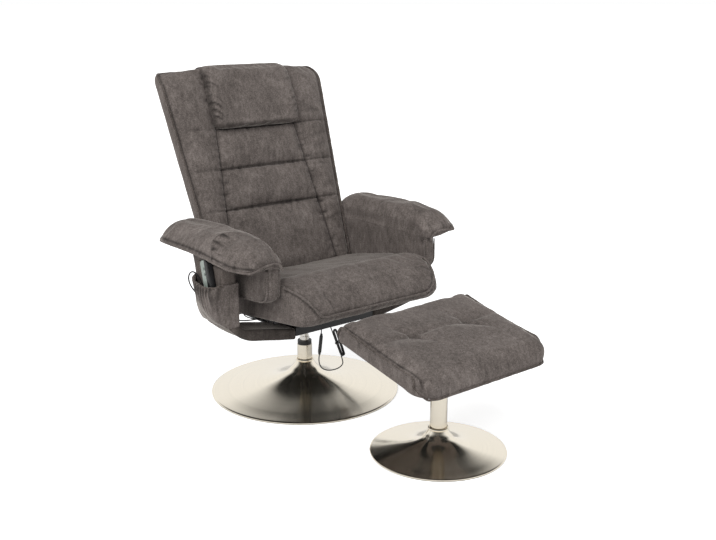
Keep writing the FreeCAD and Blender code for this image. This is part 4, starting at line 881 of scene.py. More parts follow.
def make_seat():
    rows = [[seat_place(share, y, z) for y, z in seat_profile(share)[:-1]] for share in spread(SEAT_ACROSS)]
    made = cover("seat_cover", rows, 1.0, 9)
    line = seat_piping_line()
    distance = nearest(line)

    def shape(p):
        away = distance(p)
        side = abs(p.x) > SEAT_HALF_W - 8 and p.y > SEAT_FREE_Y
        move = 0.0
        closed = 0.0
        if p.z > seat_floor(p.y) + 60:
            move += 3.0 * fold(p, 90, seed=3.0) + 1.2 * fold(p, 30, (1.0, 0.8, 1.0), 7.0)
            # painted shade: the seat's top is darkened towards the rear, where the back and arms shade it
            closed += 0.2 * clamp((p.y + 250.0) / 70.0)
        if side:
            return min(move, 0.0), closed
        # painted shade in the groove along the piping, the gathers near it, the front crease and the front
        # ripples, with painted light on their ridges
        move -= 3.4 * bell(away, 6.0)
        closed += 0.6 * bell(away - 4.6, 2.0)
        crimp = fold(p, 15, seed=19.0)
        move += 2.8 * crimp * bell(away, 30.0)
        closed += 0.3 * painted_fold_shade(crimp) * bell(away, 26.0)
        crease = bell(p.x + 152.0 + 0.25 * (p.z - 380.0), 4.0) * (p.y < -318)
        move -= 2.0 * crease
        closed += 0.35 * crease
        if p.y < -300:
            ripple = fold(p, 36, (1.0, 1.0, 0.5), 23.0)
            move += 1.8 * ripple
            closed += 0.14 * painted_fold_shade(ripple)
        return move, closed

    shift_and_paint_shade(made, shape)

    def held(p):
        if p.z < seat_floor(p.y) + 8 or p.y > 70 or (abs(p.x) > SEAT_HALF_W - 8 and p.y > SEAT_FREE_Y):
            return 1.0
        return bell(distance(p), 8.0)

    settle(made, 6.0, 3.0, 0.012, held)
    rounder(made)
    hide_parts("seat_cushion")

    out = []
    for x, y, z in line:
        draw = 3.5 if y > SEAT_FREE_Y else 0.0
        out.append((x - math.copysign(draw, x), y - (2.4 if y < SEAT_FREE_Y else 0.0), z + 1.8))
    piping("seat_piping", [out], wobble=0.2)


make_seat()


# Back, drawn upright about the hinge line and then leaned

def leaned(x, t, s):
    forward, up = turned_by(t, s, BACK_LEAN)
    return x, HINGE_Y - forward, HINGE_Z + up


def upright(p):
    """Undoes the lean: across, forward and up the back."""
    return p.x, *turned_by(HINGE_Y - p.y, p.z - HINGE_Z, -BACK_LEAN)


def back_half(s):
    share = (s - BACK_BOTTOM) / (BACK_TOP - BACK_BOTTOM)
    return BACK_BASE_HALF_W + (BACK_TOP_HALF_W - BACK_BASE_HALF_W) * share


def lobe_half(s):
    share = min((s - BACK_BOTTOM) / (CHANNEL_SEAMS[-1] - BACK_BOTTOM), 1.0)
    return LOBE_BASE_HALF_W + (LOBE_TOP_HALF_W - LOBE_BASE_HALF_W) * share


def channel(s):
    """How full the back is between its cross seams, from 0 at a seam to 1."""
    seams = (BACK_BOTTOM - 30.0,) + CHANNEL_SEAMS
    for low, high in zip(seams, seams[1:]):
        if low <= s < high:
            return 1 - abs(2 * (s - low) / (high - low) - 1) ** 7.0
    return 0.0


def back_rounding(s):
    return ease(clamp((s - BACK_TOP + BACK_TOP_ROUND) / BACK_TOP_ROUND), 0.0)


def back_foot(s):
    return max(1 - (s - BACK_BOTTOM) / 22.0, 0.0) ** 2


def back_pull(s):
    """How far the outline is drawn in round its corners."""
    return BACK_TOP_PULL * back_rounding(s) * 0.6 + 10.0 * back_foot(s)


def back_taper(s):
    """Share of the edge's thickness that is left towards the pinched top corners."""
    return 1 - 0.8 * clamp((s - BACK_TOP + 62.0) / 62.0) ** 1.7


def back_row(s):
    rounding = back_rounding(s)
    bottom = back_foot(s)
    pull = back_pull(s)
    half = back_half(s) - pull
    lobe = lobe_half(s)
    edge = (BACK_EDGE_T - pull / 4) * back_taper(s)
    if s < CHANNEL_SEAMS[-1]:
        lobe_t = BACK_EDGE_T - 3 + (LOBE_CROWN + 2) * (0.55 + 0.45 * channel(s))
    else:
        lobe_t = HEADREST_BED - 4 - pull / 6
    seam = min(BACK_EDGE_T + SIDE_CROWN - SEAM_SINK, lobe_t + SIDE_CROWN) - pull / 3
    crown = (edge + seam) / 2 + SIDE_CROWN * (0.75 - 0.45 * rounding) * (1 - 0.35 * bottom)
    rear = edge / 5
    turn = rear * CORNER_SHARE
    side = chain(
        arc_points((rear - half, 0.0), (turn - half, turn), (-half, rear), 3),
        arc_points((-half, rear), (-half - 1.5, (rear + edge) / 2), (-half, edge), 5))
    bolster = arc_points((-half, edge), (-(half + lobe) / 2, crown), (-lobe, seam), 24, crowd_ends)
    middle = arc_points((-lobe, seam), (0.0, lobe_t), (lobe, seam), 52, crowd_ends)
    back = line_points((half - rear, 0.0), (rear - half, 0.0), 14)
    return chain(back, side, bolster, middle, mirrored(bolster), mirrored(side))[:-1]


BACK_WELT_INDEX = 14 + 3 + 5
BACK_ROWS = 150


def back_heights():
    """Heights of the cover's rows, closer together at the cross seams and at the top."""
    fine = np.linspace(BACK_BOTTOM, BACK_TOP, 2000)
    weight = 1 + sum(2.5 * np.exp(-((fine - seam) / 9.0) ** 2) for seam in CHANNEL_SEAMS)
    weight += 2.0 * np.exp(-((fine - BACK_TOP) / 14.0) ** 2)
    reach = np.cumsum(weight)
    reach = (reach - reach[0]) / (reach[-1] - reach[0])
    return np.interp(np.linspace(0, 1, BACK_ROWS), reach, fine)


def make_back():
    rows = [[leaned(x, t, s) for x, t in back_row(s)] for s in back_heights()]
    made = cover("back_cover", rows, 3.0, 8, "back")

    def shape(p):
        x, t, s = upright(p)
        if t < 26 * back_taper(s):
            return 0.6 * fold(p, 60, seed=2.0), 0.0
        lobe = lobe_half(s)
        off = abs(abs(x) - lobe)
        edge = back_half(s) - back_pull(s) - abs(x)
        inside = abs(x) < lobe
        calm = clamp(edge / 30.0)
        move = calm * (2.2 * fold(p, 80, seed=5.0) + 0.9 * fold(p, 26, seed=9.0))
        strength = 1.0 if s < 640 else 0.35
        move -= 4.5 * strength * bell(off, 4.0)
        # painted shade in the groove of each side seam, and on the gathers beside it with painted light on
        # their ridges
        closed = 0.62 * strength * bell(off, 2.4) + 0.14 * strength * bell(off, 8.0)
        crimp = fold((x, 0, s), 13, (0.22, 1.0, 1.0), 13.0) * bell(off, 24.0) * (1 - bell(off, 3.0))
        move += 3.8 * crimp
        closed += 0.5 * painted_fold_shade(crimp)
        for height in CHANNEL_SEAMS:
            away = abs(s - height)
            if away > 60:
                continue
            strength = 1.0 if inside else calm * (0.75 if x > 0 else 0.3)
            move -= strength * (4.0 * bell(away, 3.4) + 1.5 * bell(away, 14.0))
            # painted shade in each cross seam and its gathers
            closed += strength * (0.7 * bell(away, 2.4) + 0.12 * bell(away, 9.0))
            crimp = fold((x, 0, s), 15, (1.0, 1.0, 0.25), 17.0) * bell(away, 20.0) * strength
            move += 2.8 * crimp
            closed += 0.4 * painted_fold_shade(crimp) * bell(away, 16.0)
        if x > lobe and 150 < s < 560:
            crimp = fold((x, 0, s), 19, (0.3, 1.0, 1.0), 21.0) * calm
            move += 2.4 * crimp
            # painted shade and painted light on the bolster's gathers
            closed += 0.3 * painted_fold_shade(crimp)
        move -= 2.6 * bell(edge - 8, 5.0)
        # painted shade in the groove along the edge welt
        closed += 0.8 * bell(edge - 5.0, 2.6)
        return move, closed

    shift_and_paint_shade(made, shape)

    def held(p):
        x, t, s = upright(p)
        if t < 20 or s < BACK_BOTTOM + 6:
            return 1.0
        weight = bell(abs(x) - lobe_half(s), 6.0)
        edge = back_half(s) - abs(x)
        weight = max(weight, bell(edge - 9, 8.0))
        for height in CHANNEL_SEAMS:
            weight = max(weight, bell(s - height, 6.0) * (1.0 if abs(x) < lobe_half(s) else 0.4))
        return weight

    settle(made, 6.0, 2.5, 0.012, held)
    rounder(made)
    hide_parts("back_cushion")

    lines = []
    for side in (LEFT, RIGHT):
        line = []
        for s in np.linspace(BACK_BOTTOM + 4, BACK_TOP - 3, 60):
            x, t = back_row(s)[BACK_WELT_INDEX]
            line.append(leaned(side * (abs(x) + 0.4), t + 1.4, s))
        for x, t in back_row(BACK_TOP)[BACK_WELT_INDEX + 2:BACK_WELT_INDEX + 24:3]:
            line.append(leaned(side * abs(x), t * 0.35, BACK_TOP + 0.5))
        lines.append(smooth_path(line, 260))
    piping("back_piping", lines, PIPING_PAINTED_SHADE, "back")


make_back()


# Headrest pillow

def headrest_loop(share):
    """Side view at a share of the pillow's half width."""
    inset = 15.0 * ease(abs(share), 0.8) + 2.0 * abs(share) ** 4
    front = [(t + inset * way_t, up + inset * way_up) for t, up, way_t, way_up in HEADREST_FRONT]
    path = [tuple(p) for p in smooth_path(front, 48)]
    foot = (HEADREST_REAR + 1.0, HEADREST_FOOT + inset)
    rim_rear = (HEADREST_LAP + inset, HEADREST_RIM)
    rim = (HEADREST_REAR + 1.0, HEADREST_RIM)
    return chain(
        line_points(foot, path[0], 3), path, line_points(path[-1], rim_rear, 3),
        line_points(rim_rear, rim, 8), line_points(rim, foot, 20))[:-1]


def make_headrest():
    rows = [[leaned(share * HEADREST_HALF_W, t, s) for t, s in headrest_loop(share)] for share in spread(84)]
    made = cover("headrest_cover", rows, 2.0, 6, "back")

    def shape(p):
        x, t, s = upright(p)
        if t < 43 and s < 680:
            return 0.0, 0.0
        edge = HEADREST_HALF_W - abs(x)
        low = 1.0 if s < 640 else max(0.0, 1 - (s - 640) / 40.0)
        move = 1.4 * fold(p, 70, seed=31.0) + 0.7 * fold(p, 24, seed=33.0)
        lines = fold((edge, 0, s + (0.9 if x < 0 else 0.4) * edge), 11, (0.2, 1.0, 1.0), 35.0)
        near = bell(edge, 22.0) * (0.4 + 0.6 * low) * (1.0 if x < 0 else 0.7)
        move += 5.0 * near * lines - 2.5 * bell(edge, 5.0)
        # painted shade along the pillow's sides and in its fold lines, painted light between them, and a
        # painted shadow along the pillow's foot
        closed = 0.6 * bell(edge, 3.4) + 1.3 * near * painted_fold_shade(lines) + 0.4 * bell(s - HEADREST_FOOT - 2.0, 7.0)
        return move, closed

    shift_and_paint_shade(made, shape)

    def held(p):
        x, t, s = upright(p)
        if t < 46:
            return 1.0
        return bell(HEADREST_HALF_W - abs(x), 7.0)

    settle(made, 5.0, 2.5, 0.012, held)
    rounder(made)
    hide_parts("headrest_cushion")


make_headrest()


# Arms, drawn on the sitter's left and mirrored

def roll_values(place):
    table = np.array(ROLL_SHARES)
    return [float(np.interp(place, table[:, 0], table[:, k])) for k in (1, 2, 3)]


def smooth_values(place):
    """The roll's shares, averaged over a short reach so that no step shows."""
    reach = 0.035
    near = [roll_values(clamp(place + k * reach / 2)) for k in (-2, -1, 0, 1, 2)]
    edge = min(place, 1 - place) / (2 * reach)
    blend = min(edge, 1.0)
    own = roll_values(place)
    mean = [sum(v[k] for v in near) / len(near) for k in range(3)]
    return [own[k] * (1 - blend) + mean[k] * blend for k in range(3)]


def roll_loop(place, dip=1.0):
    height, reach, drop = smooth_values(place)
    low = ARM_SPLIT_Z + 0.5
    top = low + height * (ROLL_TOP_Z - low)
    lip_x = ROLL_CREST_X + reach * (ROLL_LIP_X - ROLL_CREST_X)
    lip_z = min(ROLL_LIP_Z - drop * ROLL_LIP_DROP * dip, top - ROLL_LIP_T)
    inner = ROLL_INNER_X + (1 - height) * 11.0
    side_z = low + (top - low) * 0.45
    inner_side = (inner - 2.75, side_z)
    shoulder = (inner + (ROLL_CREST_X - inner) * 0.3, side_z + (top - side_z) * 0.78)
    crest = (ROLL_CREST_X, top)
    brow = (ROLL_CREST_X + (lip_x - ROLL_CREST_X) * 0.66, lip_z + (top - lip_z) * 0.72)
    lip = (lip_x, lip_z)
    hem = (lip_x - ROLL_LIP_T / 2, lip_z - ROLL_LIP_T / 2)
    under = (ROLL_UNDER_X, low)
    foot = (inner - 3.0, low - 4.0)
    return chain(
        line_points(foot, inner_side, 6), arc_points(inner_side, shoulder, crest, 16),
        arc_points(crest, brow, lip, 30, crowd_ends), line_points(lip, hem, 2), line_points(hem, under, 10),
        line_points(under, foot, 6))[:-1]


ROLL_LIP_INDEX = 6 + 16 + 30
ROLL_ROWS = 108


def roll_y(place):
    return ROLL_REAR_Y + (ROLL_FRONT_Y - ROLL_REAR_Y) * place


def make_roll(side, name):
    dip = 1.0 if side == RIGHT else ROLL_LEFT_SHARE
    rows = []
    for place in 0.5 + 0.5 * spread(ROLL_ROWS, 0.35):
        rows.append([(side * x, roll_y(place), z) for x, z in roll_loop(place, dip)])
    made = cover(name + "_roll_cover", rows, 3.0, 6, flip=side == RIGHT)

    def seam_y(x):
        return -110.0 - (0.037 if x > 388.0 else 0.0103) * (x - 388.0) ** 2

    def shape(p):
        x = abs(p.x)
        broad = fold(p, 62, seed=41.0 + side)
        move = 1.3 * broad + 0.4 * fold(p, 24, seed=43.0)
        if p.z < ARM_SPLIT_Z + 3 or (x < 285 and p.z < ROLL_LIP_Z):
            return 0.3 * move, 0.0
        ahead = seam_y(x) - p.y
        off = abs(ahead)
        # painted light where the cloth bulges out, painted shade where it sinks
        closed = -0.1 * broad
        if x > 296:
            move -= 2.7 * bell(off, 4.0)
            # painted shade in the cross seam's groove
            closed += 0.5 * bell(off, 2.6)
            if ahead > 0:
                rays = fold((x, p.y, p.z * 1.2), 8.5, (1.0, 0.16, 1.0), 47.0) * bell(ahead, 60.0)
                rays *= min(ahead / 6.0, 1.0)
                outer = clamp((x - 330.0) / 40.0, 0.3)
                move += 4.5 * rays * outer
                # painted shade in the gathers fanning out from the seam, painted light between them
                closed += 1.2 * painted_fold_shade(rays) * outer
                move += 2.2 * bell(ahead - 65.0, 42.0)
        place = (ROLL_REAR_Y - p.y) / (ROLL_REAR_Y - ROLL_FRONT_Y)
        lip_z = ROLL_LIP_Z - dip * ROLL_LIP_DROP * smooth_values(place)[2]
        hem = max(p.z - lip_z, 0.0) if x > 372 else 99.0
        move -= 2.4 * bell(hem, 6.0)
        # painted shade in the groove above the lip's piping
        closed += 0.9 * bell(hem - 6.0, 3.6)
        crimp = bell(hem, 22.0) * fold(p, 13, (0.3, 1.0, 0.3), 51.0)
        front = p.y - ROLL_FRONT_Y
        crimp += bell(front, 34.0) * fold(p, 13, (1.0, 0.4, 0.4), 53.0)
        move += 1.5 * crimp
        # painted shade and painted light on the small gathers by the lip and the front
        closed += 0.3 * painted_fold_shade(crimp)
        return move, closed

    shift_and_paint_shade(made, shape)

    def held(p):
        x = abs(p.x)
        if p.z < ARM_SPLIT_Z + 8:
            return 1.0
        weight = bell(p.z - ROLL_LIP_Z, 9.0) if x > 395 else 0.0
        if x > 296:
            weight = max(weight, bell(p.y - seam_y(x), 6.0))
        return weight

    settle(made, 3.5, 2.0, 0.006, held)
    rounder(made)
    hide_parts(name + "_arm_roll")

    line = []
    for place in np.linspace(0.0, 1.0, 70):
        x, z = roll_loop(place, dip)[ROLL_LIP_INDEX + 1]
        line.append((side * (x + 3.0), roll_y(place), z - 1.5))
    for x, z in ROLL_SMILE:
        rise = (1 - dip) * ROLL_LIP_DROP * max(x - 300.0, 0.0) / 110.0
        line.append((side * x, ROLL_FRONT_Y - 6.5, z + rise))
    piping(name + "_roll_piping", [smooth_path(line, 300)])


def panel_outline(inset):
    """Side view of the arm's panel, drawn in by an inset; its rear edge leans with the back."""
    slope = math.atan2(ARM_FRONT_Z - ARM_REAR_Z, ARM_REAR_Y - ARM_FRONT_Y)
    front = ARM_FRONT_Y + inset
    rear = ARM_REAR_Y - inset
    radius = ARM_CORNER_R - inset / 2

    def low(y):
        return ARM_REAR_Z + inset + (ARM_REAR_Y - y) * math.tan(slope)

    corner = radius * CORNER_SHARE
    start = (front + radius, low(front + radius))
    middle = (front + corner, low(front) + corner)
    end = (front, low(front) + radius)
    top = ARM_SPLIT_Z + 2.0
    rear_top = rear + ARM_REAR_LEAN
    return chain(
        line_points((rear, low(rear)), start, 44), arc_points(start, middle, end, 10),
        line_points(end, (front, top), 22), line_points((front, top), (rear_top, top), 44),
        line_points((rear_top, top), (rear, low(rear)), 16))[:-1]


def make_panel(side, name):
    rows = []
    for place in np.linspace(0.0, 1.0, 19):
        edge = min(place, 1 - place) * 2
        inset = 11.0 * ease(1 - min(edge / 0.75, 1.0), 0.0)
        x = ARM_INNER_X + 0.6 + (ARM_OUTER_X - ARM_INNER_X - 1.2) * place
        rows.append([(side * x, y, z) for y, z in panel_outline(inset)])
    made = cover(name + "_panel_cover", rows, 0.5, 10, flip=side == LEFT)

    def shape(p):
        ahead = p.y - ARM_FRONT_Y
        soft = fold(p, 50, seed=61.0)
        move = 0.9 * soft
        # painted light on the soft bulges, painted shade in the dips
        closed = -0.06 * soft
        top = ARM_SPLIT_Z - p.z
        if ahead < 60:
            crimp = bell(top, 40.0) * fold(p, 12, (1.0, 1.0, 0.35), 63.0) * bell(ahead, 50.0)
            move += 2.8 * crimp
            # painted shade and painted light on the gathers under the roll's front
            closed += 0.5 * painted_fold_shade(crimp)
        if abs(p.x) > ARM_OUTER_X - 8:
            dent = fold(p, 30, seed=67.0)
            move += 2.2 * dent
            # painted shade and painted light on the outer dents, and a painted highlight patch towards the
            # front
            closed += 0.25 * painted_fold_shade(dent) - 0.25 * bell(p.y + 205.0, 16.0) * bell(p.z - 452.0, 18.0)
            # painted shade along the panel's top, under the roll's overhang
            closed += 0.5 * bell(top, 12.0)
        if ahead < 40:
            middle = (ARM_INNER_X + ARM_OUTER_X) / 2
            edge = abs(abs(p.x) - middle) - 20
            move -= 2.0 * bell(edge, 3.5)
            # painted shade in the groove along the front edge
            closed += 0.6 * bell(edge, 2.4)
        return move, closed

    shift_and_paint_shade(made, shape)
    rounder(made)
    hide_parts(name + "_arm_panel")
    lines = []
    for x in (ARM_INNER_X + 3.5, ARM_OUTER_X - 3.5):
        line = [(side * x, y, z) for y, z in panel_outline(4.5)[2:74:2]]
        lines.append(smooth_path(line, 200))
    piping(name + "_panel_piping", lines, radius=PIPING_R * 0.8)


for SIDE, NAME in ((LEFT, "left"), (RIGHT, "right")):
    make_roll(SIDE, NAME)
    make_panel(SIDE, NAME)


# Padded bands under the arms

def band_lines(count_run, count_bend, count_up):
    """Matching points on the band's outer and inner lines, from the pan to the arm."""
    angle = math.radians(BAND_RISE)
    half = BAND_T / 2

    def height(x):
        return BAND_LINE_Z + math.tan(angle) * (x - BAND_KNEE_X)

    def one(side, radius):
        x_up = BAND_X - side * half
        offset = (BAND_RUN_T - half if side > 0 else -half) / math.cos(angle)
        corner_z = height(x_up) + offset
        tangent = radius * math.tan((math.pi / 2 - angle) / 2)
        centre = (x_up - radius, corner_z + tangent)
        half_way = (angle - math.pi / 2) / 2
        low = (x_up - tangent * math.cos(angle), corner_z - tangent * math.sin(angle))
        middle = (centre[0] + radius * math.cos(half_way), centre[1] + radius * math.sin(half_way))
        high = (x_up, corner_z + tangent)
        start = (BAND_START_X, height(BAND_START_X) + offset)
        return chain(
            line_points(start, low, count_run), arc_points(low, middle, high, count_bend),
            line_points(high, (x_up, BAND_TOP_Z), count_up))

    return one(-1, BAND_OUTER_R), one(1, BAND_INNER_R)


def make_band(side, name):
    outer, inner = band_lines(22, 26, 16)
    rows = []
    r = BAND_EDGE_R
    for (ox, oz), (ix, iz) in zip(outer, inner):
        out, into = np.array((ox, oz)), np.array((ix, iz))
        way = into - out
        thick = np.linalg.norm(way)
        way /= thick
        ring = []
        wide = BAND_W / 2 - 0.4
        corners = ((wide - r, thick - r), (r - wide, thick - r), (r - wide, r), (wide - r, r))
        for quarter, (cy, ct) in enumerate(corners):
            for share in np.linspace(0, 1, 6):
                a = math.pi / 2 * (quarter + share)
                ring.append((cy + r * math.cos(a), ct + r * math.sin(a)))
            ny, nt = corners[(quarter + 1) % 4]
            end = (ny + r * math.cos(a), nt + r * math.sin(a))
            ring += line_points(ring[-1], end, 4 if quarter % 2 else 14)[1:-1]
        row = []
        narrow = BAND_NARROW * clamp((BAND_BEND_X - ox) / 50.0)
        for y, t in ring:
            at = out + way * t
            y = y * (1 - narrow / BAND_W) - narrow / 2
            row.append((side * at[0], BAND_FRONT_Y + BAND_W / 2 + y, at[1]))
        rows.append(row)
    made = cover(
        name + "_band_cover", rows, 0.0, 5, flip=side == LEFT, slot="band_cloth",
        materials=[BAND_CLOTH, SLOTS["underside_cloth"]])

    def shape(p):
        ahead = p.y - BAND_FRONT_Y
        behind = BAND_W - ahead
        soft = fold(p, 60, seed=71.0)
        move = 1.2 * soft - 1.6 * bell(ahead - 8, 4.0) - 1.6 * bell(behind - 8, 4.0)
        # painted shade in the groove along the front edge, painted light on the soft bulges
        closed = 0.45 * bell(ahead - 7, 2.6) - 0.08 * soft
        # painted shade on the run under the seat, inboard of the bend
        closed += 0.6 * clamp((BAND_BEND_X - abs(p.x)) / 30.0)
        bend = bell(abs(p.x) - 355, 30.0) if p.z < 360 else 0.0
        crimp = bend * fold(p, 14, (0.4, 1.0, 0.4), 73.0)
        # painted light on the bend's crimps, painted shade in their hollows
        return move + 1.6 * crimp, closed - 0.3 * crimp

    shift_and_paint_shade(made, shape)
    for face in made.data.polygons:
        centre = face.center / MM
        aside = abs(centre.y - BAND_FRONT_Y - BAND_W / 2)
        if face.normal.z > 0.6 and abs(centre.x) < 345 and aside < BAND_W / 2 - 4:
            face.material_index = 1
    rounder(made)
    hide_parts(name + "_band_pad")


for SIDE, NAME in ((LEFT, "left"), (RIGHT, "right")):
    make_band(SIDE, NAME)


# Pocket on the sitter's right

def pocket_row(z, swell, start, sag=0.0):
    front = BAND_FRONT_Y - POCKET_WALL - 0.3
    rear = BAND_FRONT_Y + BAND_W + POCKET_WALL + 0.3
    base = band_outer_x(z) + POCKET_WALL + 0.3
    out = band_outer_x(z) + max(swell, POCKET_WALL + 0.3)
    round_x = min(POCKET_CORNER, out - base + 0.3)
    a, b = (-POCKET_FLAP_X, rear), (-base, rear)
    mid = (-(base + out) / 2 - round_x / 4, (rear + start) / 2)
    c, d = (-out, start), (-out, front + POCKET_CORNER)
    bow = (-out - 1.2, (start + d[1]) / 2)
    e, f = (-out + round_x, front), (-POCKET_FLAP_X, front)
    turn = (-out + round_x * CORNER_SHARE, front + POCKET_CORNER * CORNER_SHARE)
    flat = chain(
        line_points(a, b, 8), arc_points(b, mid, c, 34), arc_points(c, bow, d, 38), arc_points(d, turn, e, 8),
        line_points(e, f, 12))
    row = []
    for x, y in flat:
        open_part = clamp((y - front) / 30.0) * clamp((rear - y) / 30.0)
        outward = 1.0 if x < -base - 1 else 0.3
        ahead = clamp((-60.0 - y) / 60.0)
        row.append((x, y, z - sag * (open_part * outward + 1.1 * ahead)))
    return row


def make_pocket():
    levels = smooth_path(POCKET_LEVELS, 34)
    rows = []
    for k, (z, swell, start) in enumerate(levels):
        high = k / (len(levels) - 1)
        rows.append(pocket_row(z, swell, start, 7.0 * max(high - 0.75, 0.0) / 0.25))
    made = cover("pocket_cover", rows, None, flip=True, slot="band_cloth", materials=[CLOTH], closed=False)
    top = POCKET_LEVELS[-1][0]

    def shape(p):
        x = abs(p.x)
        loose = clamp((x - band_outer_x(p.z) - 5.0) / 12.0)
        down = top - p.z
        wander = fold((p.x, p.y, down * 0.4), 22, seed=85.0)
        gather = math.sin(math.tau * (p.y + p.x / 2) / 15.0 + 2.6 * wander)
        gather *= bell(down, 50.0 + 22.0 * wander) * (0.3 + 0.7 * clamp((p.y + 180.0) / 40.0))
        soft = fold(p, 34, seed=83.0)
        # painted shade in the pocket's gathers and dents, painted light on their broad folds
        return loose * (4.2 * gather + 2.0 * soft - 0.6), loose * (0.9 * painted_fold_shade(gather) + 0.3 * painted_fold_shade(soft))

    shift_and_paint_shade(made, shape)
    hem = made.modifiers.new("cloth", "SOLIDIFY")
    hem.thickness = 2.0 * MM
    hem.offset = -1.0
    rounder(made)
    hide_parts("handset_pocket")
    rim = []
    for x, y, z in rows[-1][6:-8]:
        wander = noise.noise(Vector((y * 0.1, x * 0.1, 4.0)))
        gather = 1.3 * math.sin(math.tau * (y + x / 2) / 11.5 + 1.5 * wander)
        rim.append((x + 0.2, y, z - 2.0 + 0.5 * gather))
    piping("pocket_elastic", [smooth_path(rim, 260)], PIPING_PAINTED_SHADE, radius=4.2, wobble=0.9, slot="band_cloth")


make_pocket()


# Footstool

def sloped(x, y, z):
    along, up = turned_by(y, z, STOOL_TILT)
    return x, STOOL_MID[0] + along, STOOL_MID[1] + up


def level(p):
    return p.x, *turned_by(p.y - STOOL_MID[0], p.z - STOOL_MID[1], -STOOL_TILT)


def stool_profile(share):
    roundness = ease(abs(share), 0.8)
    draw = roundness * STOOL_CORNER_R
    drop = roundness * STOOL_SIDE_DROP
    rear = STOOL_HALF_L - draw * 0.1
    front = -STOOL_HALF_L + draw * 0.75
    low_draw = ease(abs(share), 0.74) * STOOL_CORNER_R * 0.45
    top = STOOL_BOX_T - drop
    corner = STOOL_NOSE * CORNER_SHARE
    rear_low = (rear - STOOL_SIDE_DROP, 0.0)
    rear_mid = (rear - 1.0, (top + STOOL_REAR_RISE) * 0.6)
    rear_top = (rear - 14.0, top + STOOL_REAR_RISE)
    crown = STOOL_CROWN * (1 - roundness)
    middle = ((rear + front + STOOL_NOSE) / 2, top + crown)
    nose_start = (front + STOOL_NOSE, top)
    nose = (front + corner, top - corner)
    front_low = (front - 1.0 + low_draw, top - STOOL_NOSE - STOOL_FRONT_SAG + 0.3 * low_draw)
    under = (front + STOOL_SIDE_DROP + low_draw, -STOOL_FRONT_SAG / 2)
    return chain(
        arc_points(rear_low, rear_mid, rear_top, 10), arc_points(rear_top, middle, nose_start, 46),
        arc_points(nose_start, nose, front_low, 14), line_points(front_low, under, 2),
        line_points(under, rear_low, 30))


STOOL_WELT_INDEX = 10 + 46 + 14


def make_stool():
    rows = []
    for share in spread(96, 0.55):
        x = share * STOOL_HALF_W
        rows.append([sloped(x, y, z) for y, z in stool_profile(share)[:-1]])
    made = cover("stool_cover", rows, 5.0, 8, "stand")

    def shape(p):
        x, y, z = level(p)
        if z < 8:
            return 0.0, 0.0
        edge = STOOL_HALF_W - abs(x)
        calm = min(edge / 40.0, 1.0)
        move = (0.3 + 0.7 * calm) * (1.6 * fold(p, 80, seed=91.0) + 0.7 * fold(p, 26, seed=93.0))
        closed = 0.0
        if z < 22:
            return 0.4 * move, -0.12 * fold(p, 26, seed=95.0)
        for side in (LEFT, RIGHT):
            dx, dy = x - side * TUFT_X, y - TUFT_Y
            away = math.hypot(dx, dy)
            move -= 9.0 * bell(away, 13.0) + 8.0 * bell(away, 44.0)
            # painted shade in the tuft's hollow
            closed += 0.4 * bell(away, 9.0) + 0.1 * bell(away, 34.0)
            for angle, reach, depth in STOOL_CREASES:
                along, aside = turned_by(dx, dy, -angle)
                if along > 0:
                    line = bell(along, reach)
                    move -= depth * line * bell(aside, 5 + along * 0.09)
                    move += depth * 0.55 * line * bell(abs(aside) - 13, 9)
                    # painted shade in the creases running out from the tuft
                    closed += 0.05 * depth * line * bell(aside, 4 + along * 0.1)
        rim = edge - 4.0 * bell(y + 120.0, 40.0)
        move -= 2.6 * bell(rim - 6, 5.0)
        # painted shade in the groove along the piping
        closed += 0.75 * bell(rim - 4.5, 2.4)
        crimp = bell(edge, 26.0) * fold(p, 17, (0.3, 1.0, 1.0), 97.0)
        # painted shade and painted light on the gathers near the edges
        return move + 1.6 * crimp, closed + 0.3 * painted_fold_shade(crimp)

    shift_and_paint_shade(made, shape)

    def held(p):
        x, y, z = level(p)
        if z < 10:
            return 1.0
        weight = bell(STOOL_HALF_W - abs(x), 9.0)
        for side in (LEFT, RIGHT):
            weight = max(weight, bell(math.hypot(x - side * TUFT_X, y - TUFT_Y), 12.0))
        return weight

    settle(made, 5.0, 3.0, 0.012, held)
    rounder(made)
    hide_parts("stool_cushion")

    side_line = [(STOOL_HALF_W + 0.8, y, z + 1.6) for y, z in stool_profile(1.0)[4:STOOL_WELT_INDEX - 3]]
    front = []
    for share in np.linspace(0.93, -0.93, 70):
        y, z = stool_profile(share)[STOOL_WELT_INDEX]
        front.append((share * STOOL_HALF_W, y - 2.0, z))
    whole = side_line + front + mirrored(side_line)
    line = smooth_path([sloped(*p) for p in whole[::2]] + [sloped(*whole[-1])], 460)
    piping("stool_piping", [line], PIPING_PAINTED_SHADE, "stand", wobble=0.2)


make_stool()


# Cloth under the seat

def make_dust_cloth():
    rows = []
    for y in np.linspace(RAIL_FRONT_Y + 1, RAIL_REAR_Y - 1, 40):
        row = []
        for x in np.linspace(-RAIL_HALF_X + 1, RAIL_HALF_X - 1, 48):
            in_x = min(1 - abs(x) / RAIL_HALF_X, 0.25) / 0.25
            in_y = min((y - RAIL_FRONT_Y) / 60.0, (RAIL_REAR_Y - y) / 60.0, 1.0)
            ripple = 0.5 * fold((x, y, 0), 40, seed=101.0)
            along, up = turned_by(y, 0.7 + ripple * max(in_x * in_y, 0.0), -SEAT_TILT)
            row.append((x, along, SEAT_BASE_Z + up))
        rows.append(row)
    made = cover("dust_cloth", rows, None, slot="underside_cloth", closed=False)
    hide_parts("seat_dust_cover")


make_dust_cloth()


# Room and light

FLOOR_REACH = 400.0
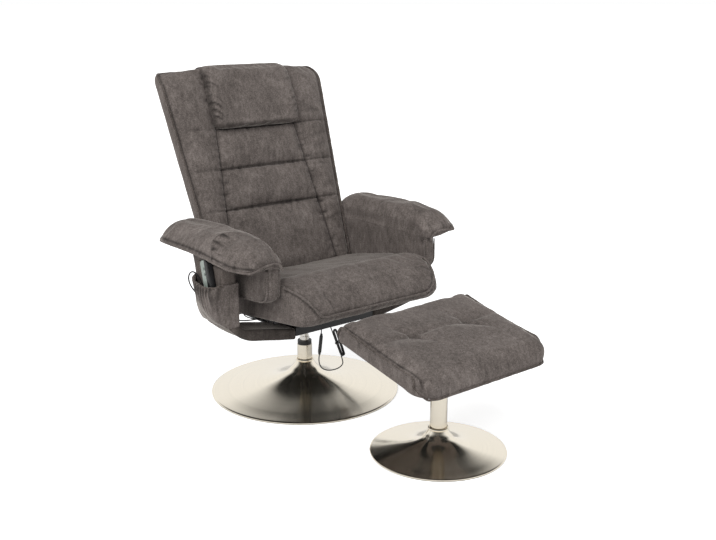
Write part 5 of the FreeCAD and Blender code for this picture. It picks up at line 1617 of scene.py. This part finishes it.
# height above the horizon, as a sine, and brightness: what lights the cloth, and what metal mirrors
SKY_SHARES = ((0.0, 0.64), (0.5, 0.6), (1.0, 0.4))
MIRROR_SHARES = ((0.0, 0.97), (0.46, 0.97), (0.62, 0.02), (1.0, 0.005))
WHITE_FLOOR_POWER = 0.55
KEY_AT = (-3.0, -1.6, 3.4)
KEY_POWER = 2.1
FILL_AT = (3.0, -3.0, 2.0)
FILL_POWER = 0.2
LAMP_SPREAD = 50.0


def make_room():
    floor = bpy.data.meshes.new("floor")
    a, b = -FLOOR_REACH, FLOOR_REACH
    floor.from_pydata([(a, a, 0), (b, a, 0), (b, b, 0), (a, b, 0)], [], [(0, 1, 2, 3)])
    made = bpy.data.objects.new("floor", floor)
    bpy.context.scene.collection.objects.link(made)
    m = material("floor")
    camera_ray = m.add("LightPath").outputs["Is Camera Ray"]
    m.set(Base_Color=(0.9, 0.9, 0.9, 1.0), Roughness=0.9, Specular_IOR_Level=0.0)
    m.set(Emission_Color=(1.0, 1.0, 1.0, 1.0), Emission_Strength=m.times(camera_ray, WHITE_FLOOR_POWER))
    floor.materials.append(m.owner)

    world = bpy.data.worlds.new("room")
    bpy.context.scene.world = world
    room = Nodes(world, "Background")
    height = room.add("SeparateXYZ", Vector=room.where("Generated")).outputs["Z"]
    ray = room.add("LightPath").outputs
    tables = (SKY_SHARES, MIRROR_SHARES)
    sky, mirror = [room.ramp(height, [(at, (v, v, v)) for at, v in shares]) for shares in tables]
    lit = room.mix("MIX", ray["Is Glossy Ray"], sky, mirror)
    room.set(Color=room.mix("MIX", ray["Is Camera Ray"], lit, (1.0, 1.0, 1.0)))

    for name, power, at in (("key", KEY_POWER, KEY_AT), ("fill", FILL_POWER, FILL_AT)):
        data = bpy.data.lights.new(name, "SUN")
        data.energy = power
        data.angle = math.radians(LAMP_SPREAD)
        lamp = bpy.data.objects.new(name, data)
        lamp.location = at
        lamp.rotation_euler = (-Vector(at)).to_track_quat("-Z", "Y").to_euler()
        lamp.visible_glossy = False
        bpy.context.scene.collection.objects.link(lamp)
    bpy.context.scene.view_settings.view_transform = "Standard"


make_room()
